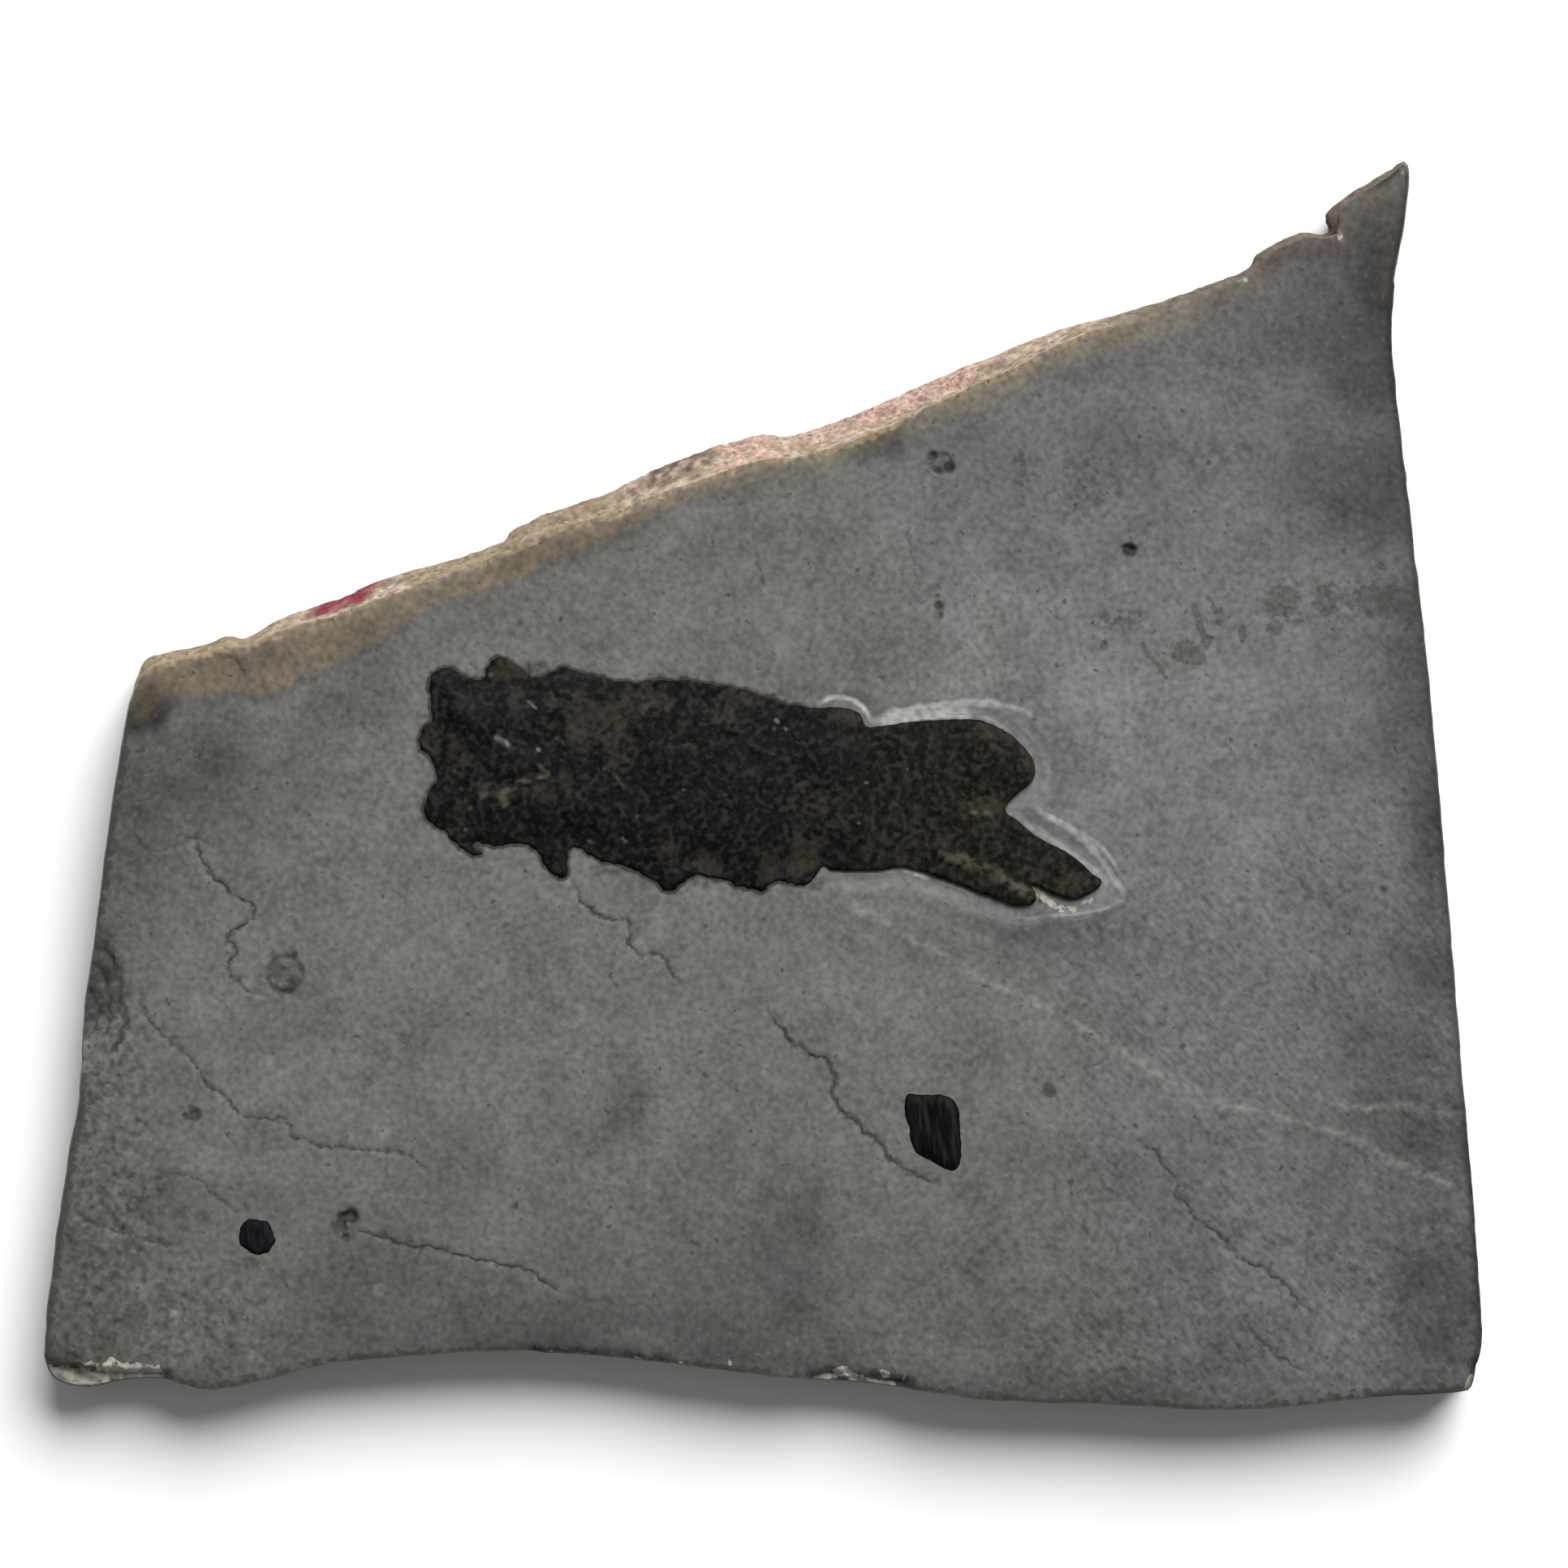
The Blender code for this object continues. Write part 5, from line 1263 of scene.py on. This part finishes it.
def chip_surface(proud, ridge, lean):
    """Functions for the height and the marks of a fragment, a little proud of the face."""

    def height(places, depth_inside):
        raised = proud * ease(depth_inside / CHIP_SHOULDER)
        leaning = places + np.column_stack([lean * places[:, 1], 0.0 * places[:, 1]])
        grain = np.zeros(len(places))
        for width, slender, share, layer in CHIP_FIBRES:
            grain += share * ridge * swell(leaning, width, layer, (1.0, slender))
        held = 0.35 + 0.65 * ease(depth_inside / 0.8)
        return face_level(places) + raised + held * grain - 0.1 * (1.0 - ease(depth_inside / 0.4))

    def marks(places, depth_inside):
        # painted shade along the fragment's edge
        return {"dark": ease(1.0 - depth_inside / 0.6)}

    return height, marks


def make_fossil(name, outline, height, marks, step, material, side):
    """A fossil piece in its pocket: flat below, upright at its edge, and fine relief above."""
    shell = Shell()
    plan = grown(outline, -0.5 * FOSSIL_GAP)
    inner = apart(grid_over(plan, step), plan, 0.5 * step)
    places, faces = triangles_over([plan], inner)
    depth_inside, _ = nearest(places, plan, SHOULDER, closed=True)
    depth_inside[: len(plan)] = 0.0
    top = shell.add_points(places, height(places, depth_inside), marks(places, depth_inside))
    shell.add_flat(top, places, faces, TOP_CORNER, side)
    along = lengths_along(plan)
    rises = (THICKNESS - FOSSIL_UNDER, 0.0)
    # painted shade: the upright walls darken down into the pocket
    walls = shell.add_points(plan, FOSSIL_UNDER, {"dark": np.ones(len(plan))})
    shell.add_wall(top[: len(plan)], walls, along, rises, WALL_CORNER, side,
                   rows=(0.9 * side, max(WALL_ROW / side, 0.05)))
    under_points = apart(grid_over(plan, 6.0 * step), plan, 2.0 * step)
    under_places, under_faces = triangles_over([plan], under_points)
    inner_under = shell.add_points(under_points, FOSSIL_UNDER)
    numbers = np.concatenate([walls, inner_under])
    shell.add_flat(numbers, under_places, under_faces, LOW_CORNER, 2.2 * side, up=False)
    return shell.made(name, material, crease=75.0)


# ---------------------------------------------------------------- materials

# Sizes of noise are in millimetres. The weights of a total say how far each noise moves a value.
LIT_SHARE = 0.77  # colour of a face under this scene's light, over the colour seen
JOINT_LIT = 0.8  # the same of the joint face
NOISE_TURN = (0.7, 0.5, 0.4)  # turns the noise off the face's plane, so that its lattice doesn't show


def seen(red, green, blue, share=LIT_SHARE):
    """The colour of a surface that shows as the given one, 0 to 255, in this scene's light."""
    levels = np.array([red, green, blue]) / 255.0
    linear = np.where(levels <= 0.04045, levels / 12.92, ((levels + 0.055) / 1.055) ** 2.4)
    return (*(share * linear).tolist(), 1.0)


class Finish:
    """Short ways to build one material's nodes. Places are in millimetres."""

    def __init__(self, name):
        self.material = bpy.data.materials.new(name)
        self.material.use_nodes = True
        self.tree = self.material.node_tree
        self.shader = self.tree.nodes["Principled BSDF"]
        self.shader.inputs["Metallic"].default_value = 0.0
        position = self.tree.nodes.new("ShaderNodeTexCoord").outputs["Object"]
        self.place = self.stretched(position, (1.0 / MM,) * 3)
        turn = {"Vector": self.place, "Rotation": NOISE_TURN}
        self.turned = self.node("ShaderNodeMapping", turn).outputs[0]

    def node(self, kind, fills, **settings):
        """A node with its settings, and its sockets linked or filled in."""
        made = self.tree.nodes.new(kind)
        for setting, value in settings.items():
            setattr(made, setting, value)
        for socket, value in fills.items():
            if isinstance(value, bpy.types.NodeSocket):
                self.tree.links.new(value, made.inputs[socket])
            else:
                made.inputs[socket].default_value = value
        return made

    def stretched(self, place, factors):
        return self.node("ShaderNodeVectorMath", {0: place, 1: factors}, operation="MULTIPLY").outputs[0]

    def streaks(self, degrees, length):
        """Places shrunk along a direction in the plan, which draws unevenness out along it."""
        angles, factors = (0.0, 0.0, math.radians(degrees)), (length, 1.0, 1.0)
        fills = {"Vector": self.place, "Rotation": angles, "Scale": factors}
        return self.node("ShaderNodeMapping", fills, vector_type="TEXTURE").outputs[0]

    def mark(self, name):
        return self.node("ShaderNodeAttribute", {}, attribute_name=name).outputs["Fac"]

    def noise(self, size, detail=2.0, roughness=0.5, place=None):
        """Unevenness of a size, between about -0.5 and 0.5."""
        fills = {"Vector": place or self.turned, "Scale": 1.0 / size, "Detail": detail}
        found = self.node("ShaderNodeTexNoise", {**fills, "Roughness": roughness})
        return self.math("SUBTRACT", found.outputs[0], 0.5)

    def cells(self, size, place=None):
        """Distance from the middles of scattered grains, 0 to about 1."""
        fills = {"Vector": place or self.turned, "Scale": 1.0 / size}
        return self.node("ShaderNodeTexVoronoi", fills).outputs["Distance"]

    def math(self, operation, first, second=0.0, clamp=False):
        fills = {0: first, 1: second}
        return self.node("ShaderNodeMath", fills, operation=operation, use_clamp=clamp).outputs[0]

    def times(self, first, second, clamp=False):
        return self.math("MULTIPLY", first, second, clamp)

    def plus(self, first, second, clamp=False):
        return self.math("ADD", first, second, clamp)

    def total(self, *parts):
        """The sum of values, each with its weight."""
        found = None
        for value, weight in parts:
            part = self.times(value, weight)
            found = part if found is None else self.plus(found, part)
        return found

    def between(self, value, low, high, start=0.0, end=1.0):
        """A smooth step from the start to the end as the value goes from low to high."""
        fills = {"Value": value, "From Min": low, "From Max": high, "To Min": start, "To Max": end}
        made = self.node("ShaderNodeMapRange", fills, interpolation_type="SMOOTHSTEP")
        return made.outputs["Result"]

    def mix(self, share, under, over):
        """The colour under at a share of 0, and the colour over at 1."""
        made = self.node("ShaderNodeMix", {"Factor": share}, data_type="RGBA")
        for socket, value in ((made.inputs[6], under), (made.inputs[7], over)):
            if isinstance(value, bpy.types.NodeSocket):
                self.tree.links.new(value, socket)
            else:
                socket.default_value = value
        return made.outputs[2]

    def brightened(self, colour, factor):
        plain = colour[:3] if isinstance(colour, tuple) else colour
        fills = {0: plain, "Scale": factor}
        return self.node("ShaderNodeVectorMath", fills, operation="SCALE").outputs[0]

    def bumped(self, height, depth_mm, normal=None):
        """A normal for relief whose height, 0 to 1, stands for a depth."""
        fills = {"Height": height, "Distance": depth_mm * MM, "Strength": 1.0}
        if normal is not None:
            fills["Normal"] = normal
        return self.node("ShaderNodeBump", fills).outputs["Normal"]

    def done(self, colour, roughness, normal=None):
        """The material, with its shader's sockets linked or filled in."""
        for socket, value in (("Base Color", colour), ("Roughness", roughness), ("Normal", normal)):
            if isinstance(value, bpy.types.NodeSocket):
                self.tree.links.new(value, self.shader.inputs[socket])
            elif value is not None:
                self.shader.inputs[socket].default_value = value
        return self.material


def flagstone():
    """Grey fine-grained rock, with its veins, stains and crusts, and the joint face's calcite."""
    stone = Finish("grey_flagstone")
    stone.shader.inputs["Specular IOR Level"].default_value = 0.2
    sand = stone.noise(0.92, 0.0)
    silt = stone.noise(0.40, 0.0)
    clots = stone.noise(1.9, 1.0, 0.5)
    patches = stone.noise(4.6, 1.0, 0.5)
    clouds = stone.noise(13.0, 3.0, 0.6)
    worms = stone.noise(1.3, 1.0, 0.6)
    streaked = stone.noise(0.75, 2.0, 0.6, stone.streaks(-47.0, 3.6))
    laminae = stone.noise(9.0, 4.0, 0.7, stone.stretched(stone.place, (1.0, 1.0, 11.0)))
    side, joint = stone.mark("side"), stone.mark("joint")

    mottling = stone.times(worms, stone.mark("mottle"))
    striae = stone.times(streaked, stone.mark("striae"))
    layers = stone.times(laminae, side)
    level = stone.total((sand, 0.72), (silt, 0.18), (clots, 0.34), (patches, 0.36), (clouds, 0.75),
                        (mottling, 2.0), (striae, 0.9), (layers, 0.8))
    level = stone.plus(level, 1.0)
    level = stone.times(level, stone.math("SUBTRACT", 1.0, stone.mark("shade")))
    level = stone.times(level, stone.between(side, 0.0, 1.0, 1.0, 0.70))
    level = stone.math("MAXIMUM", level, 0.15)

    cool = stone.plus(stone.mark("cool"), stone.times(clouds, 1.2))
    cool = stone.plus(cool, stone.times(stone.mark("shade"), 0.7), True)
    grey = stone.mix(cool, seen(111, 110, 106), seen(110, 111, 110))
    uneven = stone.total((patches, 1.1), (clots, 0.9))
    band = stone.plus(stone.mark("band"), stone.times(uneven, stone.mark("band")), True)
    inset = stone.plus(stone.mark("inset"), stone.total((patches, 0.12), (clots, 0.08)))
    inner = stone.mix(stone.mark("tanned"), seen(124, 118, 105), seen(122, 111, 94))
    tan = stone.mix(stone.between(inset, 0.0, 0.20), seen(140, 130, 112), inner)
    tan = stone.mix(stone.mark("tip"), tan, seen(111, 105, 98))
    grey = stone.mix(band, grey, tan)
    warm_side = stone.times(side, stone.between(stone.noise(6.0, 3.0), -0.02, 0.2, 0.0, 0.35))
    grey = stone.mix(warm_side, grey, seen(126, 113, 94))
    colour = stone.brightened(grey, level)

    speck = stone.between(stone.noise(0.65, 0.0), 0.20, 0.30, 0.0, 0.12)
    colour = stone.mix(speck, colour, seen(158, 158, 153))
    grit = stone.between(stone.noise(0.8, 0.0, place=stone.streaks(-50.0, 1.6)), -0.30, -0.20, 0.34, 0.0)
    colour = stone.mix(grit, colour, seen(66, 66, 62))
    ragged_edge = stone.noise(1.3, 2.0, 0.6)
    stain = stone.total((stone.mark("stain"), 1.0), (ragged_edge, 1.6))
    dulled = stone.mix(0.35, stone.brightened(colour, 0.80), seen(80, 80, 74))
    colour = stone.mix(stone.between(stain, 0.50, 0.62), colour, dulled)
    specked = stone.between(stone.noise(1.25, 2.0, 0.6), -0.02, 0.14, 0.0, 0.55)
    specked = stone.times(specked, stone.between(stone.mark("stain"), 0.15, 0.55))
    colour = stone.mix(specked, colour, seen(66, 66, 59))
    crack = stone.total((stone.mark("crack"), 1.0), (stone.noise(0.75, 2.0, 0.6), 1.5))
    colour = stone.mix(stone.between(crack, 0.55, 0.90, 0.0, 0.72), colour, seen(66, 65, 59))

    broken_up = stone.plus(stone.times(sand, 1.3), 0.85)
    pale = stone.times(stone.mark("pale"), broken_up, True)
    colour = stone.mix(pale, colour, seen(168, 167, 160))
    away, along = stone.mark("away"), stone.mark("brush")
    courses = {"X": stone.times(along, 0.14), "Y": stone.times(away, 1.5)}
    brushed = stone.noise(0.55, 2.0, 0.6, stone.node("ShaderNodeCombineXYZ", courses).outputs[0])
    scraped = stone.times(stone.mark("scraped"), stone.between(brushed, -0.2, 0.25, 0.0, 0.5))
    colour = stone.mix(scraped, colour, seen(124, 126, 127))
    worn = stone.plus(stone.total((brushed, 0.8), (sand, 1.2), (clots, 0.5)), 0.95)
    halo = stone.times(stone.mark("halo"), worn, True)
    scratch = stone.mix(stone.mark("cool"), seen(192, 193, 185), seen(176, 179, 179))
    colour = stone.mix(halo, colour, scratch)
    crust = stone.total((stone.mark("crust"), 1.0), (stone.noise(0.9, 2.0, 0.6), 1.5), (sand, 0.4))
    cream = stone.plus(stone.total((sand, 1.0), (clots, 1.0)), 1.0)
    cream = stone.brightened(seen(164, 160, 150), cream)
    colour = stone.mix(stone.between(crust, 0.42, 0.72, 0.0, 0.92), colour, cream)
    # painted shadow beside the fish's body, and dark rock
    soot = stone.total((stone.mark("soot"), 1.0), (ragged_edge, 1.0))
    colour = stone.mix(stone.between(soot, 0.38, 0.90, 0.0, 0.9), colour, seen(54, 51, 45))

    lip = stone.plus(stone.mark("lip"), stone.total((clots, 0.5), (patches, 1.0), (sand, 0.2)))
    short = stone.between(stone.mark("tip"), 0.0, 0.8, 1.0, 0.0)
    covered = stone.math("MAXIMUM", joint, stone.times(stone.between(lip, 0.66, 0.80), short))
    colour = stone.mix(covered, colour, calcite(stone, clots, sand))
    # dark: pits and crack lines, and the painted shade line along the right edge
    dark = stone.times(stone.mark("dark"), stone.plus(sand, 0.85), True)
    colour = stone.mix(dark, colour, seen(38, 36, 31))
    # darker rim along the left and lower edges
    rim = stone.total((stone.mark("rim"), 1.0), (worms, 2.0), (clots, 1.2))
    colour = stone.mix(stone.between(rim, 0.40, 0.75, 0.0, 0.75), colour, seen(58, 57, 52))

    relief = stone.total((sand, 0.6), (clots, 1.0), (striae, 0.8), (mottling, 1.6), (layers, 4.0))
    normal = stone.bumped(relief, 0.05)
    roughness = stone.between(clots, -0.3, 0.3, 0.95, 0.82)
    return stone.done(colour, roughness, normal)


def calcite(stone, clots, sand):
    """Colour of the joint face: cream calcite, stained pink, crimson, brown and tan."""
    speckled = stone.noise(0.9, 2.0, 0.6)
    cream = stone.mix(stone.between(clots, -0.2, 0.2), seen(136, 120, 101, JOINT_LIT),
                      seen(182, 166, 148, JOINT_LIT))
    pinkish = stone.mix(stone.between(speckled, -0.2, 0.2), seen(156, 116, 103, JOINT_LIT),
                        seen(204, 180, 166, JOINT_LIT))
    pink = stone.times(stone.mark("pink"), stone.between(clots, -0.2, 0.2, 1.0, 0.6))
    colour = stone.mix(pink, cream, pinkish)
    colour = stone.mix(stone.mark("crimson"), colour, seen(126, 50, 62, JOINT_LIT))
    brown = stone.times(stone.mark("brown"), stone.between(clots, -0.1, 0.2, 1.0, 0.3))
    colour = stone.mix(brown, colour, seen(92, 78, 68, 0.7))
    tan = stone.times(stone.mark("band"), stone.between(clots, -0.3, 0.3, 1.0, 0.75))
    colour = stone.mix(tan, colour, seen(138, 124, 100, JOINT_LIT))
    colour = stone.mix(stone.mark("tip"), colour, seen(112, 102, 91, JOINT_LIT))
    flecks = stone.between(stone.noise(0.5, 1.0), -0.26, -0.12, 0.85, 0.0)
    colour = stone.mix(flecks, colour, seen(96, 68, 58, JOINT_LIT))
    return stone.brightened(colour, stone.plus(stone.times(sand, 1.0), 1.0))


def black_crust():
    """The fish's black crust: pale coaly grains that are partly painted highlights, thin brown places, tan
    ridges and glints painted as highlights.
    """
    coal = Finish("fossil_crust")
    coal.shader.inputs["Specular IOR Level"].default_value = 0.08
    sand = coal.noise(0.90, 1.0, 0.5)
    clots = coal.noise(1.9, 1.0, 0.6)
    patches = coal.noise(5.0, 2.0, 0.6)
    tail, brown = coal.mark("tail"), coal.mark("brown")

    black = coal.mix(tail, seen(15, 16, 15), seen(23, 23, 19))
    uneven = coal.total((clots, 1.2), (sand, 0.8), (patches, 0.8))
    patchy = coal.plus(brown, coal.times(uneven, coal.plus(brown, 0.12)), True)
    level = coal.total((sand, 3.6), (clots, 2.2), (patches, 0.8))
    level = coal.times(level, coal.between(patchy, 0.0, 1.0, 1.0, 0.5))
    colour = coal.mix(patchy, black, seen(48, 43, 36))
    colour = coal.brightened(colour, coal.math("MAXIMUM", coal.plus(level, 1.0), 0.25))
    # pale grains and crumbs: partly the crust's own pale specks, partly painted highlights on its knobbly
    # grain
    pale = coal.mix(tail, seen(56, 57, 56), seen(64, 61, 52))
    grains = coal.between(coal.cells(0.72), 0.12, 0.42, 0.38, 0.0)
    grains = coal.times(grains, coal.between(coal.noise(1.5, 1.0), -0.16, 0.16, 0.15, 1.0))
    crumbs = coal.between(coal.noise(0.95, 0.0), 0.0, 0.22, 0.0, 0.40)
    colour = coal.mix(coal.math("MAXIMUM", grains, crumbs), colour, pale)
    tan = coal.times(coal.mark("tan"), coal.between(uneven, -0.25, 0.25, 0.1, 0.85))
    colour = coal.mix(tan, colour, seen(92, 87, 74))
    # painted shade in the holes, along the edge and down the walls
    colour = coal.mix(coal.mark("dark"), colour, seen(13, 13, 12))
    # painted highlights: the glints of shiny scale
    glint = coal.times(coal.mark("glint"), coal.between(sand, -0.2, 0.15, 0.25, 0.75))
    colour = coal.mix(glint, colour, seen(134, 137, 134))

    relief = coal.total((sand, 0.6), (clots, 1.0))
    normal = coal.bumped(relief, 0.06)
    roughness = coal.between(coal.mark("block"), 0.0, 1.0, 0.75, 0.6)
    return coal.done(colour, roughness, normal)


def fragment(name, shaded_furrows, lit_crests):
    """Black fragments with a fine upright grain, with painted highlights on its crests and painted shade
    in its furrows.
    """
    coal = Finish(name)
    coal.shader.inputs["Specular IOR Level"].default_value = 0.05
    fibres = coal.noise(0.62, 1.0, 0.5, coal.streaks(96.0, 6.0))
    grains = coal.noise(0.5, 2.0, 0.5)
    # painted highlight on the crests and painted shade in the furrows
    colour = coal.mix(coal.between(fibres, -0.15, 0.25), shaded_furrows, lit_crests)
    # painted shade along the edge and down the walls
    colour = coal.mix(coal.mark("dark"), colour, seen(12, 12, 12))
    normal = coal.bumped(coal.total((fibres, 1.0), (grains, 0.25)), 0.08)
    return coal.done(colour, coal.between(grains, -0.3, 0.3, 0.7, 0.5), normal)


# ---------------------------------------------------------------- studio

KEY_HEIGHT, KEY_AZIMUTH = 41.0, 66.0  # of the key light, in degrees; the azimuth is from +X to +Y
KEY_SPREAD = 46.0  # the light's angular size, which softens the shadow
KEY_STRENGTH = 5.3
SKY_LEVEL = 0.20
VIEW_CENTRE = (3.0, 0.0)  # place of the drawing that the camera looks straight down on
VIEW_WIDTH = 231.84  # width of the view at the face's height
VIEW_DISTANCE = 1000.0
VIEW_FAR = 20.0  # metres from the camera where its view ends
SENSOR = 36.0
FLOOR_SIDE = 8.0  # metres
FLOOR_COLOUR = (0.88, 0.88, 0.88, 1.0)


def make_floor():
    bpy.ops.mesh.primitive_plane_add(size=FLOOR_SIDE, location=(0.0, 0.0, 0.0))
    floor = bpy.context.object
    floor.name = "studio_floor"
    paint = Finish("pale_floor")
    floor.data.materials.append(paint.done(FLOOR_COLOUR, 0.9))


def make_light():
    key = bpy.data.lights.new("key", "SUN")
    key.energy = KEY_STRENGTH
    key.angle = math.radians(KEY_SPREAD)
    lamp = bpy.data.objects.new("key", key)
    lamp.rotation_euler = (0.0, math.radians(90.0 - KEY_HEIGHT), math.radians(KEY_AZIMUTH))
    bpy.context.scene.collection.objects.link(lamp)
    world = bpy.data.worlds.new("sky")
    world.use_nodes = True
    sky = world.node_tree.nodes["Background"]
    sky.inputs["Color"].default_value = (1.0, 1.0, 1.0, 1.0)
    sky.inputs["Strength"].default_value = SKY_LEVEL
    bpy.context.scene.world = world


def make_camera():
    lens = bpy.data.cameras.new("above")
    lens.sensor_width = SENSOR
    lens.lens = SENSOR * VIEW_DISTANCE / VIEW_WIDTH
    lens.clip_end = VIEW_FAR
    camera = bpy.data.objects.new("above", lens)
    x, y = np.array(VIEW_CENTRE) - CENTRE
    camera.location = Vector((x, y, THICKNESS + VIEW_DISTANCE)) * MM
    bpy.context.scene.collection.objects.link(camera)
    bpy.context.scene.camera = camera


# ---------------------------------------------------------------- the part


def main():
    coal = fragment("coaly_fragment", seen(5, 6, 7), seen(32, 34, 36))
    grey_coal = fragment("grey_coaly_fragment", seen(13, 14, 17), seen(31, 34, 38))
    chip = chip_surface(CHIP_PROUD, CHIP_RIDGE, CHIP_TILT)
    small_chip = chip_surface(SMALL_CHIP_PROUD, SMALL_CHIP_RIDGE, 0.0)
    pieces = (
        (make_slab(flagstone()), "slab", "matrix"),
        (make_fossil("fish_crust", FISH_OUTLINE, fish_height, fish_marks, RELIEF_STEP,
                     black_crust(), FISH_MAP), "fish_fossil", "fossil"),
        (make_fossil("coaly_chip", CHIP_OUTLINE, *chip, CHIP_STEP, coal, CHIP_MAP),
         "black_chip", "fragment"),
        (make_fossil("coaly_speck", SMALL_CHIP_OUTLINE, *small_chip, CHIP_STEP, grey_coal, CHIP_MAP),
         "small_chip", "fragment"),
    )
    for piece, node, slot in pieces:
        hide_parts(node)
        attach(piece, "root")
    make_floor()
    make_light()
    make_camera()
    bpy.context.scene.view_settings.view_transform = "Standard"


main()
